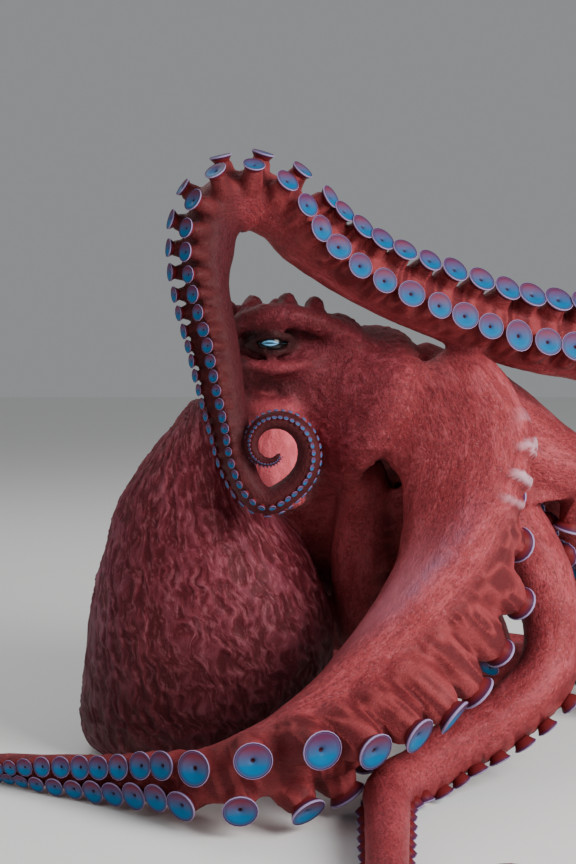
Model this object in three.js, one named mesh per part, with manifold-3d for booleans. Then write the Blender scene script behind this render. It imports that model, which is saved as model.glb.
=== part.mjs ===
// A giant Pacific octopus at life size, sitting on the floor with one arm raised over its head.
// Units are millimetres, +Z is up. The animal's right side faces -Y and its arm crown opens towards +X.
// Every sub-part is a lofted solid of its own: mantle, head, eyes, funnel, mouth, eight arms in a few
// lengths and the eight webs between them.
import * as THREE from "three";
import { ParametricGeometry } from "three/addons/geometries/ParametricGeometry.js";
import { mergeVertices } from "three/addons/utils/BufferGeometryUtils.js";
import Module from "manifold-3d";

const wasm = await Module();
wasm.setup();

// ---------------------------------------------------------------- driving dimensions

const GAP = 0.4; // clearance between solids that meet
const FLOOR_SINK = 1.5; // how far a resting part would reach below the floor before it is trimmed flat

// Head frame: the axis runs from the mantle towards the mouth, dorsal is up, right faces the viewer.
const HEAD_CENTRE = new THREE.Vector3(2, 66, 448);
const MOUTH_AXIS = new THREE.Vector3(0.86, 0.3, -0.41).normalize();
const DORSAL = new THREE.Vector3(0, 0, 1).projectOnPlane(MOUTH_AXIS).normalize();
const RIGHT = new THREE.Vector3().crossVectors(MOUTH_AXIS, DORSAL);

const CROWN_REACH = 112; // from the head's centre to the ring of arm roots
const ROOT_RING = 72; // radius of that ring
const ROOT_STEP = THREE.MathUtils.degToRad(45);

// Head and crown sections along the mouth axis: [distance from the head's centre, half height, half width].
const HEAD_SECTIONS = [
  [-70, 24, 30],
  [-56, 44, 50],
  [-24, 60, 64],
  [16, 67, 76],
  [52, 80, 96],
  [84, 95, 112],
  [104, 96, 112],
  [112, 74, 84],
];

// Mantle sections from the floor up: [height, centre x, half width in x, half depth in y].
const MANTLE_SECTIONS = [
  [-FLOOR_SINK, -133, 86, 74],
  [17, -127, 112, 98],
  [47, -113, 133, 116],
  [84, -98, 145, 126],
  [131, -91, 146, 129],
  [178, -91, 139, 125],
  [226, -95, 124, 115],
  [261, -101, 108, 105],
  [297, -109, 87, 92],
  [332, -105, 70, 80],
  [378, -90, 50, 62],
  [414, -78, 34, 44],
];
const MANTLE_Y = 118; // centre of every mantle section in y

const EYE_RADIUS = 17;
const EYE_CENTRE = new THREE.Vector3(-18, 2, 480); // the right eye
const EYE_MOUND = { radius: 38, depth: 26 }; // the raised mound of flesh that the eye sits in
const HORNS = [[-24, 34], [12, 40], [40, 36]]; // brow papillae: [forward, up] of the eye's centre
const HORN = { radius: 13, height: 26 };

const FUNNEL_ROUTE = [[-22, 56, 420], [-17, 22, 392], [-12, -2, 356], [-6, -14, 322], [-2, -18, 302]];
const FUNNEL_RADII = [36, 35, 31, 26, 21];
const FUNNEL_BORE = { radius: 30, depth: 22 };

const LIPS = { radius: 24, tube: 7, reach: 120, beak: 13 };

// ---------------------------------------------------------------- arms

// Each arm: its place on the root ring (0 is the right dorsal arm, counting down the right side and
// round), its half thickness at the root, how fast it tapers, its suckers and its route. Tables of
// [distance from the root, value] say by what share its webs widen it (flare), how much deeper its sucker
// side is (keel) and how much higher its back (crest). Along its strap [middle, reach] its back is broad
// and flat. A route row is [x, y, z, ox, oy, oz]: a point of the centreline and the way its sucker side
// faces there. On the floor an arm goes on by bends of [length, turn in degrees].
const TIP_RADIUS = 2.2;
const DOWN = [0, 0, -1];
const FLOOR_ARM = {
  thickness: 42, taper: 0.8, flare: [[0, 0], [110, 0.1], [150, 0.1], [350, 0]], underside: 1.15, suckers: null,
  lengths: ["base", "mid", "tip"], cuts: [0.3, 0.62],
};

const ARMS = {
  arm_r1: {
    ring: 0, thickness: 46, taper: 0.62, underside: 0.8,
    flare: [[0, 0], [110, 0.35], [150, 0.35], [350, 0]],
    crest: [[770, 0], [850, 14], [915, 18], [1000, 9], [1050, 0]],
    suckers: { share: 0.47, thin: 0.26, pitch: 1.06, lift: 0.6, row: 0.72, most: 60, splay: [0.2, 0, 1], solid: 300 },
    lengths: ["base", "bend", "run", "arch", "fall", "curl"], cuts: [0.2, 0.34, 0.5, 0.64, 0.83],
    route: [
      [195, 85, 425, 0.2, 0.6, -0.75],
      [250, 92, 382, 0, 0.6, -0.8],
      [300, 96, 345, 0, 0.5, -0.85],
      [348, 98, 326, 0.2, 0.2, -0.95],
      [394, 96, 346, 0.8, -0.1, -0.6],
      [412, 92, 396, 0.95, -0.3, 0.1],
      [388, 82, 444, 0.6, -0.6, 0.5],
      [342, 72, 470, 0.3, -0.8, 0.5],
      [288, 60, 479, 0.22, -0.82, 0.52],
      [235, 45, 491, 0.2, -0.84, 0.5],
      [178, 28, 511, 0.22, -0.84, 0.5],
      [121, 8, 532, 0.25, -0.82, 0.52],
      [66, -8, 559, 0.35, -0.78, 0.52],
      [23, -20, 593, 0.4, -0.7, 0.6],
      [-3, -30, 622, 0.2, -0.62, 0.76],
      [-34, -42, 638, -0.2, -0.5, 0.84],
      [-66, -54, 632, -0.65, -0.45, 0.6],
      [-82, -62, 606, -0.85, -0.48, 0.2],
      [-86, -70, 564, -0.86, -0.5, 0],
      [-80, -78, 522, -0.84, -0.54, 0],
      [-71, -86, 482, -0.8, -0.6, 0],
      [-64, -94, 440, -0.8, -0.6, 0],
      [-57, -102, 398, -0.8, -0.6, 0],
      [-50, -110, 360, -0.8, -0.55, -0.2],
      [-37, -113, 333, -0.65, -0.5, -0.6],
    ],
  },
  arm_r2: {
    ring: 1, thickness: 54, taper: 1.1, underside: 0.9, swell: [520, 110, 0.3], strap: [240, 330],
    flare: [[0, 0.9], [50, 1], [90, 0.85], [143, 0.45], [190, 0.25], [260, 0.05], [430, 0]],
    keel: [[60, 0], [130, 22], [215, 56], [290, 50], [365, 42], [440, 34], [570, 0]],
    suckers: {
      share: 0.7, thin: 0.72, pitch: 1.08, lift: 0.5, row: 0.6, most: 40, splay: [0.7, 440, 560], solid: 240,
    },
    lengths: ["base", "bend", "front", "side", "tip"], cuts: [0.19, 0.33, 0.5, 0.69],
    route: [
      [172, 12, 398, 0.3, 0.95, 0],
      [190, -4, 352, 0.4, 0.9, -0.1],
      [183, -18, 300, 0.55, 0.8, -0.3],
      [168, -34, 249, 0.64, 0.58, -0.5],
      [135, -58, 198, 0.64, 0.32, -0.7],
      [88, -86, 150, 0.6, 0.06, -0.8],
      [34, -118, 106, 0.46, -0.4, -0.78],
      [-20, -146, 73, 0.2, -0.9, -0.3],
      [-68, -148, 55, 0, -1, 0],
      [-118, -112, 44, 0, -1, 0.1],
      [-190, -66, 31, 0.1, -1, 0],
      [-257, -36, 25, 0.1, -1, -0.1],
      [-320, -8, 20, 0.1, -0.9, -0.4],
    ],
    floor: { bends: [[60, 20], [55, 60], [50, 110], [45, 140]], heading: 152 },
  },
  arm_r3: {
    ...FLOOR_ARM, ring: 2,
    route: [
      [190, 66, 338, 0.5, 0.7, -0.2],
      [258, 74, 268, 0.5, 0.6, -0.5],
      [296, 56, 190, 0.4, 0.3, -0.8],
      [288, 22, 118, 0.1, 0.1, -1],
      [236, -8, 74, -0.1, 0, -1],
      [170, -40, 46, -0.1, 0, -1],
    ],
    floor: {
      bends: [[80, 22], [70, 36], [150, 0], [110, 50], [120, 90], [130, 110], [90, 150]],
      heading: 208,
    },
  },
  arm_r4: {
    ...FLOOR_ARM, ring: 3,
    route: [
      [90, 98, 292, 0.8, 0.3, 0],
      [88, 122, 222, 0.8, 0.3, -0.3],
      [92, 156, 148, 0.6, 0.3, -0.7],
      [112, 212, 84, 0.2, 0, -1],
    ],
    floor: { bends: [[150, 24], [180, -40], [170, -60], [140, 50], [120, 110], [80, 150]], heading: 66 },
  },
  arm_l4: {
    ...FLOOR_ARM, ring: 4,
    route: [
      [50, 172, 288, 0.6, -0.2, -0.3],
      [30, 220, 222, 0.4, -0.2, -0.6],
      [18, 276, 150, 0.2, -0.2, -0.8],
      [4, 342, 82, 0, 0, -1],
    ],
    floor: {
      bends: [[130, 40], [150, -100], [150, -80], [130, -100], [110, -110], [90, -130], [70, -140]],
      heading: 112,
    },
  },
  arm_l3: {
    ...FLOOR_ARM, ring: 5,
    route: [
      [118, 224, 344, 0.8, -0.2, -0.4],
      [170, 286, 272, 0.6, 0.2, -0.6],
      [220, 332, 182, 0.4, 0.3, -0.8],
      [262, 366, 98, 0.1, 0.1, -1],
    ],
    floor: { bends: [[150, -30], [180, -20], [190, 50], [160, 40], [120, -110], [90, -160]], heading: 40 },
  },
  arm_l2: {
    ...FLOOR_ARM, ring: 6,
    route: [
      [158, 206, 396, 0.5, -0.5, -0.5],
      [236, 246, 338, 0.4, -0.3, -0.8],
      [310, 270, 250, 0.2, -0.2, -0.9],
      [366, 280, 158, 0.1, 0, -1],
      [420, 284, 78, 0, 0, -1],
    ],
    floor: { bends: [[150, -20], [180, 20], [160, -50], [120, 100], [100, 170]], heading: 0 },
  },
  arm_l1: {
    ...FLOOR_ARM, ring: 7,
    route: [
      [190, 164, 420, 0.2, -0.3, -0.9],
      [262, 186, 362, 0.1, -0.2, -0.95],
      [330, 198, 284, 0, 0, -1],
      [390, 206, 192, 0, 0, -1],
      [446, 204, 104, 0, 0, -1],
    ],
    floor: { bends: [[140, -25], [180, -60], [180, -40], [160, 60], [120, 130], [80, 120]], heading: -20 },
  },
};

// The raised arm ends in a spiral about this centre, which winds up from its start radius to its end radius.
// Its turns shrink by the power wind, and it leans towards the viewer by twist and by lean over its length.
const CURL = {
  centre: [-16, -113, 378], start: 56, end: 8.5, from: -95, to: 345, steps: 19, wind: 0.55, twist: 0.5, lean: 18,
};

const WEB = { thickness: 7, scallop: 0.35, across: 4, along: 3, start: 80, anchor: 0.62 };
const WEB_REACH = [270, 330, 320, 400, 380, 320, 320, 300]; // along the arms, one for each pair of neighbours

// ---------------------------------------------------------------- materials

function flesh(color, roughness) {
  return new THREE.MeshStandardMaterial({ color, roughness, metalness: 0 });
}
const MANTLE_SKIN = flesh("#8c3a34", 0.5);
const HEAD_SKIN = flesh("#93403a", 0.5);
const ARM_SKIN = flesh("#9a3f3a", 0.45);
const WEB_SKIN = flesh("#a34843", 0.45);
const FUNNEL_SKIN = flesh("#c9736a", 0.4);
const EYEBALL = flesh("#2a1c1b", 0.1);
const MOUTH_SKIN = flesh("#7b2f2c", 0.35);

// ---------------------------------------------------------------- solids

// A closed manifold-3d solid of a three.js geometry whose faces may point either way.
function solidOf(geometry) {
  const bare = geometry.index ? geometry.toNonIndexed() : geometry.clone();
  bare.deleteAttribute("normal");
  bare.deleteAttribute("uv");
  const merged = mergeVertices(bare, 1e-3);
  const corners = [];
  for (let i = 0; i < merged.index.count; i += 3) {
    const [a, b, c] = [0, 1, 2].map((k) => merged.index.getX(i + k));
    if (a !== b && b !== c && c !== a) corners.push(a, b, c);
  }
  const vertProperties = merged.attributes.position.array;
  const build = (triVerts) =>
    new wasm.Manifold(new wasm.Mesh({ numProp: 3, vertProperties, triVerts: new Uint32Array(triVerts) }));
  const solid = build(corners);
  return solid.volume() > 0 ? solid : build(corners.reverse());
}

function meshOf(name, solid, material) {
  const { vertProperties, triVerts } = solid.getMesh();
  const geometry = new THREE.BufferGeometry()
    .setAttribute("position", new THREE.BufferAttribute(vertProperties, 3))
    .setIndex(new THREE.BufferAttribute(triVerts, 1));
  geometry.computeVertexNormals();
  const mesh = new THREE.Mesh(geometry, material);
  mesh.name = name;
  return mesh;
}

// The biggest connected body of a solid, so that a cut leaves no crumbs.
function biggest(solid) {
  return solid.decompose().reduce((best, body) => (body.volume() > best.volume() ? body : best));
}

// A closed tube through rings of equal length, with a flat cap at each end.
function loft(rings) {
  const sides = rings[0].length;
  const stacks = rings.length + 1;
  const middle = (ring) => ring.reduce((sum, p) => sum.add(p), new THREE.Vector3()).divideScalar(sides);
  const caps = [middle(rings[0]), middle(rings.at(-1))];
  const geometry = new ParametricGeometry(
    (u, v, target) => {
      const stack = Math.round(v * stacks);
      if (stack === 0) target.copy(caps[0]);
      else if (stack === stacks) target.copy(caps[1]);
      else target.copy(rings[stack - 1][Math.round(u * sides) % sides]);
    },
    sides,
    stacks,
  );
  return solidOf(geometry);
}

// The same for wide rings that cross on the inside of a bend: hulls of neighbouring rings, joined.
function chain(rings) {
  const points = rings.map((ring) => ring.map((p) => p.toArray()));
  return wasm.Manifold.union(points.slice(1).map((ring, i) => wasm.Manifold.hull([...points[i], ...ring])));
}

function ellipseRing(centre, across, upward, halfWidth, halfHeight, sides) {
  return Array.from({ length: sides }, (_, i) => {
    const angle = (i / sides) * 2 * Math.PI;
    return centre
      .clone()
      .addScaledVector(across, halfWidth * Math.sin(angle))
      .addScaledVector(upward, halfHeight * Math.cos(angle));
  });
}

function ball(centre, radius, sides) {
  const geometry = new THREE.SphereGeometry(radius, sides, Math.round(sides * 0.6));
  return solidOf(geometry.rotateX(Math.PI / 2).translate(...centre.toArray()));
}

// A truncated cone from one point to another.
function frustum(base, tip, baseRadius, tipRadius, sides) {
  const axis = new THREE.Vector3().subVectors(tip, base);
  const geometry = new THREE.CylinderGeometry(tipRadius, baseRadius, axis.length(), sides);
  geometry.translate(0, axis.length() / 2, 0);
  const turn = new THREE.Quaternion().setFromUnitVectors(new THREE.Vector3(0, 1, 0), axis.normalize());
  return solidOf(geometry.applyQuaternion(turn).translate(...base.toArray()));
}

const FLOOR_BLOCK = solidOf(new THREE.BoxGeometry(4000, 4000, 200).translate(0, 0, -100));

// ---------------------------------------------------------------- head, eyes, mantle, funnel, mouth

// A point given as [forward, dorsal, right] of the head's centre.
function headPoint(forward, dorsal, right) {
  return HEAD_CENTRE.clone()
    .addScaledVector(MOUTH_AXIS, forward)
    .addScaledVector(DORSAL, dorsal)
    .addScaledVector(RIGHT, right);
}

// The left-hand twin of a point on the animal's right side.
function mirrored(point) {
  const off = new THREE.Vector3().subVectors(point, HEAD_CENTRE).dot(RIGHT);
  return point.clone().addScaledVector(RIGHT, -2 * off);
}

function skullSolid(grow) {
  const rings = HEAD_SECTIONS.map(([along, half, wide]) =>
    ellipseRing(headPoint(along, 0, 0), RIGHT, DORSAL, wide + grow, half + grow, 12),
  );
  return loft(rings);
}

// The raised ground of one eye with its brow horns.
function eyeMound(eye, grow) {
  const inward = new THREE.Vector3().subVectors(HEAD_CENTRE, eye).projectOnPlane(MOUTH_AXIS).normalize();
  let solid = ball(eye.clone().addScaledVector(inward, EYE_MOUND.depth), EYE_MOUND.radius + grow, 7);
  for (const [forward, up] of HORNS) {
    const tip = eye.clone().add(new THREE.Vector3(forward, 0, up)).addScaledVector(inward, 24);
    const base = tip.clone().add(new THREE.Vector3(0, 0, -HORN.height)).addScaledVector(inward, 6);
    solid = solid.add(frustum(base, tip, HORN.radius + grow, 4 + grow, 4));
  }
  return solid;
}

function headSolid(grow) {
  return skullSolid(grow).add(eyeMound(EYE_CENTRE, grow)).add(eyeMound(mirrored(EYE_CENTRE), grow));
}

function mantleSolid(grow) {
  const [across, upward] = [new THREE.Vector3(1, 0, 0), new THREE.Vector3(0, 1, 0)];
  const rings = MANTLE_SECTIONS.map(([z, x, halfWidth, halfDepth]) =>
    ellipseRing(new THREE.Vector3(x, MANTLE_Y, z), across, upward, halfWidth + grow, halfDepth + grow, 16),
  );
  return loft(rings);
}

function funnelSolid(grow) {
  const route = new THREE.CatmullRomCurve3(FUNNEL_ROUTE.map((p) => new THREE.Vector3(...p)));
  const steps = FUNNEL_RADII.length - 1;
  const rings = FUNNEL_RADII.map((radius, i) => {
    const tangent = route.getTangent(i / steps);
    const across = new THREE.Vector3().crossVectors(tangent, new THREE.Vector3(0, 1, 0)).normalize();
    const upward = new THREE.Vector3().crossVectors(across, tangent);
    return ellipseRing(route.getPoint(i / steps), across, upward, radius + grow, radius + grow, 10);
  });
  return loft(rings);
}

// The hollow in the funnel's free end.
function funnelBore() {
  const end = new THREE.Vector3(...FUNNEL_ROUTE.at(-1));
  const inward = new THREE.Vector3().subVectors(new THREE.Vector3(...FUNNEL_ROUTE.at(-2)), end).normalize();
  const outer = end.clone().addScaledVector(inward, -FUNNEL_BORE.depth);
  const inner = end.clone().addScaledVector(inward, FUNNEL_BORE.depth);
  return frustum(outer, inner, FUNNEL_BORE.radius, 3, 10);
}

// The ring of lips with the beak's tip in the middle of the crown.
function mouthSolid() {
  const lips = new THREE.TorusGeometry(LIPS.radius, LIPS.tube, 5, 10);
  const turn = new THREE.Quaternion().setFromUnitVectors(new THREE.Vector3(0, 0, 1), MOUTH_AXIS);
  lips.applyQuaternion(turn).translate(...headPoint(LIPS.reach, 0, 0).toArray());
  const base = headPoint(LIPS.reach - LIPS.tube, 0, 0);
  const plate = frustum(base, headPoint(LIPS.reach, 0, 0), LIPS.radius, LIPS.radius, 10);
  const beak = frustum(base, headPoint(LIPS.reach + LIPS.beak, 0, 0), LIPS.beak, 3, 6);
  return solidOf(lips).add(plate).add(beak);
}

// ---------------------------------------------------------------- arm routes

function rootOf(ring) {
  const angle = (ring + 0.5) * ROOT_STEP;
  return headPoint(CROWN_REACH, ROOT_RING * Math.cos(angle), ROOT_RING * Math.sin(angle));
}

// Half of an arm's thickness at a distance from its root. It swells a little from the crown outwards.
function halfThickness(distance, length, arm) {
  const taper = (arm.thickness - TIP_RADIUS) * Math.pow(Math.max(0, 1 - distance / length), arm.taper);
  return (taper + TIP_RADIUS) * (0.68 + 0.32 * THREE.MathUtils.smoothstep(distance, 0, 150));
}

// How far an arm's resting edge lies under its centreline, as a share of its half thickness.
function restShare(arm) {
  return arm.suckers ? arm.suckers.row + arm.suckers.share : arm.underside;
}

// Route rows along the floor: a walk of short steps whose heading changes bend by bend.
function floorRows(start, used, arm) {
  const rows = [];
  const stride = 42;
  const at = start.clone();
  const total = used + arm.floor.bends.reduce((sum, [length]) => sum + length, 0);
  let heading = THREE.MathUtils.degToRad(arm.floor.heading);
  let walked = used;
  for (const [length, turn] of arm.floor.bends) {
    const steps = Math.max(1, Math.round(length / stride));
    for (let i = 0; i < steps; i += 1) {
      heading += THREE.MathUtils.degToRad(turn) / steps;
      walked += length / steps;
      at.x += (Math.cos(heading) * length) / steps;
      at.y += (Math.sin(heading) * length) / steps;
      at.z = halfThickness(walked, total, arm) * restShare(arm) - FLOOR_SINK;
      const oral = arm.suckers ? [Math.sin(heading), -Math.cos(heading), -0.5] : DOWN;
      rows.push([...at.toArray(), ...oral]);
    }
  }
  return rows;
}

// Route rows of the raised arm's spiral.
function curlRows() {
  const [x, y, z] = CURL.centre;
  return Array.from({ length: CURL.steps }, (_, i) => {
    const t = i / (CURL.steps - 1);
    const angle = THREE.MathUtils.degToRad(THREE.MathUtils.lerp(CURL.from, CURL.to, Math.pow(t, 0.9)));
    const radius = THREE.MathUtils.lerp(CURL.start, CURL.end, Math.pow(t, CURL.wind));
    const out = [Math.cos(angle), -CURL.twist, Math.sin(angle)];
    return [x + radius * out[0], y - CURL.lean * t, z + radius * out[2], ...out];
  });
}

// Reads a table of [distance, value] with a rounded step from each row to the next.
function tableAt(rows, distance) {
  const k = Math.max(0, rows.findLastIndex(([at]) => at <= distance));
  if (k === rows.length - 1) return rows[k][1];
  const share = THREE.MathUtils.smoothstep(distance, rows[k][0], rows[k + 1][0]);
  return THREE.MathUtils.lerp(rows[k][1], rows[k + 1][1], share);
}

// A smooth hill of height one round middle that ends reach away.
function hill(distance, [middle, reach]) {
  return 1 - THREE.MathUtils.smoothstep(Math.abs(distance - middle), 0, reach);
}

class ArmRoute {
  constructor(arm) {
    this.arm = arm;
    const root = rootOf(arm.ring);
    const inward = new THREE.Vector3().subVectors(headPoint(CROWN_REACH, 0, 0), root).normalize();
    const rows = [[...root.toArray(), ...inward.toArray()], ...arm.route];
    const pointOf = (row) => new THREE.Vector3(...row.slice(0, 3));
    const drawn = new THREE.CatmullRomCurve3(rows.map(pointOf)).getLength();
    rows.push(...(arm.floor ? floorRows(pointOf(rows.at(-1)), drawn, arm) : curlRows()));
    this.curve = new THREE.CatmullRomCurve3(rows.map(pointOf));
    this.curve.arcLengthDivisions = 600;
    this.orals = rows.map((row) => new THREE.Vector3(...row.slice(3)).normalize());
    this.length = this.curve.getLength();
  }

  // The centre, sucker side, lateral direction and half sizes at a distance from the root.
  at(distance) {
    const t = this.curve.getUtoTmapping(0, THREE.MathUtils.clamp(distance, 0, this.length));
    const key = t * (this.orals.length - 1);
    const k = Math.min(Math.floor(key), this.orals.length - 2);
    const centre = this.curve.getPoint(t);
    const tangent = this.curve.getTangent(t);
    const oral = this.orals[k].clone().lerp(this.orals[k + 1], key - k).projectOnPlane(tangent).normalize();
    const lateral = new THREE.Vector3().crossVectors(tangent, oral);
    const { flare, keel = [[0, 0]], crest = [[0, 0]], underside, swell, strap } = this.arm;
    const half = halfThickness(distance, this.length, this.arm);
    const swelling = swell ? swell[2] * hill(distance, swell) : 0;
    const wide = half * (0.95 + tableAt(flare, distance) + swelling);
    const lift = tableAt(keel, distance);
    const [high, deep] = [half + tableAt(crest, distance), underside * half + lift];
    const flat = strap ? hill(distance, strap) : 0;
    return { centre, oral, lateral, half, wide, high, deep, lift, flat, spread: half * (1 + swelling) };
  }
}

// An arm's section: round on the outside, flatter where the suckers grow. Angles run from the aboral crest.
// Where it is flat it is squarer, and it narrows towards the suckers.
function armRing({ centre, oral, lateral, wide, high, deep, flat }, grow, sides) {
  const power = 2 * (1 + 0.75 * flat);
  return Array.from({ length: sides }, (_, i) => {
    const angle = ((i + 0.5) / sides) * 2 * Math.PI;
    const round = Math.pow(Math.abs(Math.cos(angle)) ** power + Math.abs(Math.sin(angle)) ** power, -1 / power);
    const [up, side] = [Math.cos(angle) * round, Math.sin(angle) * round];
    const waist = 1 - 0.22 * flat * THREE.MathUtils.smoothstep(-up, 0.1, 0.9);
    return centre
      .clone()
      .addScaledVector(oral, -((up > 0 ? high : deep) + grow) * up)
      .addScaledVector(lateral, (wide * waist + grow) * side);
  });
}

function armLoft(route, from, to, grow, stride) {
  const steps = Math.max(2, Math.ceil((to - from) / stride));
  const rings = Array.from({ length: steps + 1 }, (_, i) =>
    armRing(route.at(from + ((to - from) * i) / steps), grow, route.arm.suckers ? 8 : 6),
  );
  const wideRoot = route.arm.strap && from < 1;
  return wideRoot ? chain(rings) : loft(rings);
}

// ---------------------------------------------------------------- suckers

// The suckers of one arm in two alternating rows.
function suckerPlaces(route) {
  const { share, thin, pitch, most } = route.arm.suckers;
  const places = [];
  let distance = 60;
  let side = 1;
  while (distance < route.length - 6) {
    const section = route.at(distance);
    const fullness = THREE.MathUtils.smoothstep(section.half, 14, 28);
    const growth = 0.5 + 0.5 * THREE.MathUtils.smoothstep(distance, 40, 260);
    const diameter = Math.min(2 * section.half * THREE.MathUtils.lerp(thin, share, fullness) * growth, most);
    places.push({ distance, side, diameter, section });
    distance += (diameter * pitch) / 2;
    side = -side;
  }
  return places;
}

// A sucker on its stalk. The two rows lean apart by splay, which fades to a fifth between two distances.
function suckerSolid({ distance, side, diameter, section }, { row, lift, splay: [lean, from, to] }) {
  const { centre, oral, lateral, half, spread } = section;
  const splay = THREE.MathUtils.lerp(lean, 0.2, THREE.MathUtils.smoothstep(distance, from, to));
  const axis = oral.clone().addScaledVector(lateral, splay * side).normalize();
  const foot = centre.clone().addScaledVector(lateral, side * row * 0.85 * spread);
  foot.addScaledVector(oral, 0.3 * half);
  const tip = foot.clone().addScaledVector(axis, 0.5 * half + lift * diameter + section.lift);
  return frustum(foot, tip, 0.32 * diameter, 0.52 * diameter, 4);
}

// ---------------------------------------------------------------- webs

// A web is the skin between two neighbouring arms: a thin curved slab from the facing edge of one to
// the facing edge of the other. It starts in the crown and its free margin is scalloped.
function webSolid(first, second, reach) {
  const { thickness, scallop, across, along, start, anchor } = WEB;
  const rings = Array.from({ length: along + 1 }, (_, j) => {
    const outer = [];
    const inner = [];
    for (let i = 0; i <= across; i += 1) {
      const u = i / across;
      const distance = start + (reach - start) * (j / along) * (1 - scallop * Math.sin(Math.PI * u));
      const [a, b] = [first.at(distance), second.at(distance)];
      a.centre.addScaledVector(a.lateral, -anchor * a.wide);
      b.centre.addScaledVector(b.lateral, anchor * b.wide);
      const point = a.centre.lerp(b.centre, u);
      const oral = a.oral.lerp(b.oral, u).normalize();
      outer.push(point.clone().addScaledVector(oral, -thickness / 2));
      inner.unshift(point.clone().addScaledVector(oral, thickness / 2));
    }
    return [...outer, ...inner];
  });
  return loft(rings);
}

// ---------------------------------------------------------------- assembly

const octopus = new THREE.Group();
const floorTrimmed = (solid) => biggest(solid.subtract(FLOOR_BLOCK));

let head = headSolid(0);
for (const [name, centre] of Object.entries({ eye_right: EYE_CENTRE, eye_left: mirrored(EYE_CENTRE) })) {
  octopus.add(meshOf(name, ball(centre, EYE_RADIUS, 9), EYEBALL));
  head = head.subtract(ball(centre, EYE_RADIUS + GAP, 9));
}
octopus.add(meshOf("head", biggest(head), HEAD_SKIN));
const headRoom = headSolid(GAP);
octopus.add(meshOf("mouth", biggest(mouthSolid().subtract(headRoom)), MOUTH_SKIN));
const funnel = funnelSolid(0).subtract(headRoom).subtract(funnelBore());
octopus.add(meshOf("funnel", biggest(funnel), FUNNEL_SKIN));
const mantle = mantleSolid(0).subtract(headRoom).subtract(funnelSolid(GAP));
octopus.add(meshOf("mantle", floorTrimmed(mantle), MANTLE_SKIN));

const routes = Object.entries(ARMS).map(([name, arm]) => [name, new ArmRoute(arm)]);
const SMALLEST_SUCKER = 23; // suckers under this diameter are left out of the solids, and so are those that
// lie deep in the crown, nearer the root than the arm's solid distance
const TIP_STRIDE = { curl: 15, tip: 46 }; // closer rings where an arm winds up
let taken = headRoom.add(mantleSolid(GAP)).add(funnelSolid(GAP));
const armRooms = [];
let beside = null; // room for the first lengths of the arm before this one
for (const [name, route] of routes) {
  const { lengths, cuts, suckers } = route.arm;
  const stride = suckers ? 36 : 56;
  const bounds = [0, ...cuts.map((cut) => cut * route.length), route.length - 1];
  const modelled = (place) => place.diameter >= SMALLEST_SUCKER && place.distance >= suckers.solid;
  const places = suckers ? suckerPlaces(route).filter(modelled) : [];
  lengths.forEach((length, i) => {
    const [from, to] = [bounds[i] + GAP / 2, bounds[i + 1] - GAP / 2];
    let solid = armLoft(route, from, to, 0, TIP_STRIDE[length] ?? stride);
    if (i === 0) solid = solid.subtract(taken);
    if (i === 0 && beside) solid = biggest(solid.subtract(beside));
    for (const place of places) {
      const margin = 0.56 * place.diameter;
      const inside = place.distance > from + margin && place.distance < to - margin;
      if (inside) solid = solid.add(suckerSolid(place, suckers));
    }
    octopus.add(meshOf(`${name}_${length}`, floorTrimmed(solid), ARM_SKIN));
  });
  const room = (i, grow) => armLoft(route, bounds[i] + GAP / 2, bounds[i + 1] - GAP / 2, grow, stride);
  const rooms = (grow) => room(0, grow).add(room(1, grow)).add(room(2, grow));
  beside = rooms(3 * GAP);
  armRooms.push(rooms(GAP));
  taken = taken.add(room(0, GAP));
}

routes.forEach(([name, route], i) => {
  const next = (i + 1) % routes.length;
  const room = taken.add(armRooms[i]).add(armRooms[next]);
  const solid = webSolid(route, routes[next][1], WEB_REACH[i]).subtract(room);
  octopus.add(meshOf(`web_${name.slice(4)}_${routes[next][0].slice(4)}`, floorTrimmed(solid), WEB_SKIN));
});

// Stand the animal over the middle of its footprint.
const box = new THREE.Box3().setFromObject(octopus);
const middle = box.getCenter(new THREE.Vector3());
octopus.position.set(-middle.x, -middle.y, -box.min.z);

export default octopus;
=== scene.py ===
"""A giant Pacific octopus at life size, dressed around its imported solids.

The animal rests on its mantle and seven of its arms. The right front arm arches over the head and ends in a spiral.
Shapes are worked out in millimetres in the animal's own frame, where the floor is z = 0 and the right side of the
animal faces -Y, and each finished mesh is moved into the part's frame in metres.
"""

import logging
import math
from dataclasses import dataclass
from enum import Enum, IntEnum
from itertools import product
from typing import Callable, Iterable, Sequence

import bmesh
import bpy
import numpy as np
from mathutils import Matrix, Vector
from mathutils.bvhtree import BVHTree


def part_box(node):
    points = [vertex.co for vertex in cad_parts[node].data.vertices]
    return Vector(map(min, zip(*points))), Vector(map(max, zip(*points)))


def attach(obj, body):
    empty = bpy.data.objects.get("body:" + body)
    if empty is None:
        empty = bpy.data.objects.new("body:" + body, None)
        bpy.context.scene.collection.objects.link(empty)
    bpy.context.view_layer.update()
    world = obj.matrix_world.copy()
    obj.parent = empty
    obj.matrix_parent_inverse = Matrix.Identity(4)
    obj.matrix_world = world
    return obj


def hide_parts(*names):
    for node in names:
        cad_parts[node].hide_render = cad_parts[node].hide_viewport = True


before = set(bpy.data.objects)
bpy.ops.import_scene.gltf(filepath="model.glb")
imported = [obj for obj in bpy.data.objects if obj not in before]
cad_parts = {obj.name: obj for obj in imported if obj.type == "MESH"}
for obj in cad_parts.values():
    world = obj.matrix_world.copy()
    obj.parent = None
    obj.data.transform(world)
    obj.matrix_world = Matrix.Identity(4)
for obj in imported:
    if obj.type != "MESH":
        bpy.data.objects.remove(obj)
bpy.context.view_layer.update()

LOG = logging.getLogger("octopus")
MM = 0.001
BLEND_ROUNDS = 7
Array = np.ndarray


# ------------------------------------------------------------------------------------------------ small helpers


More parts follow.
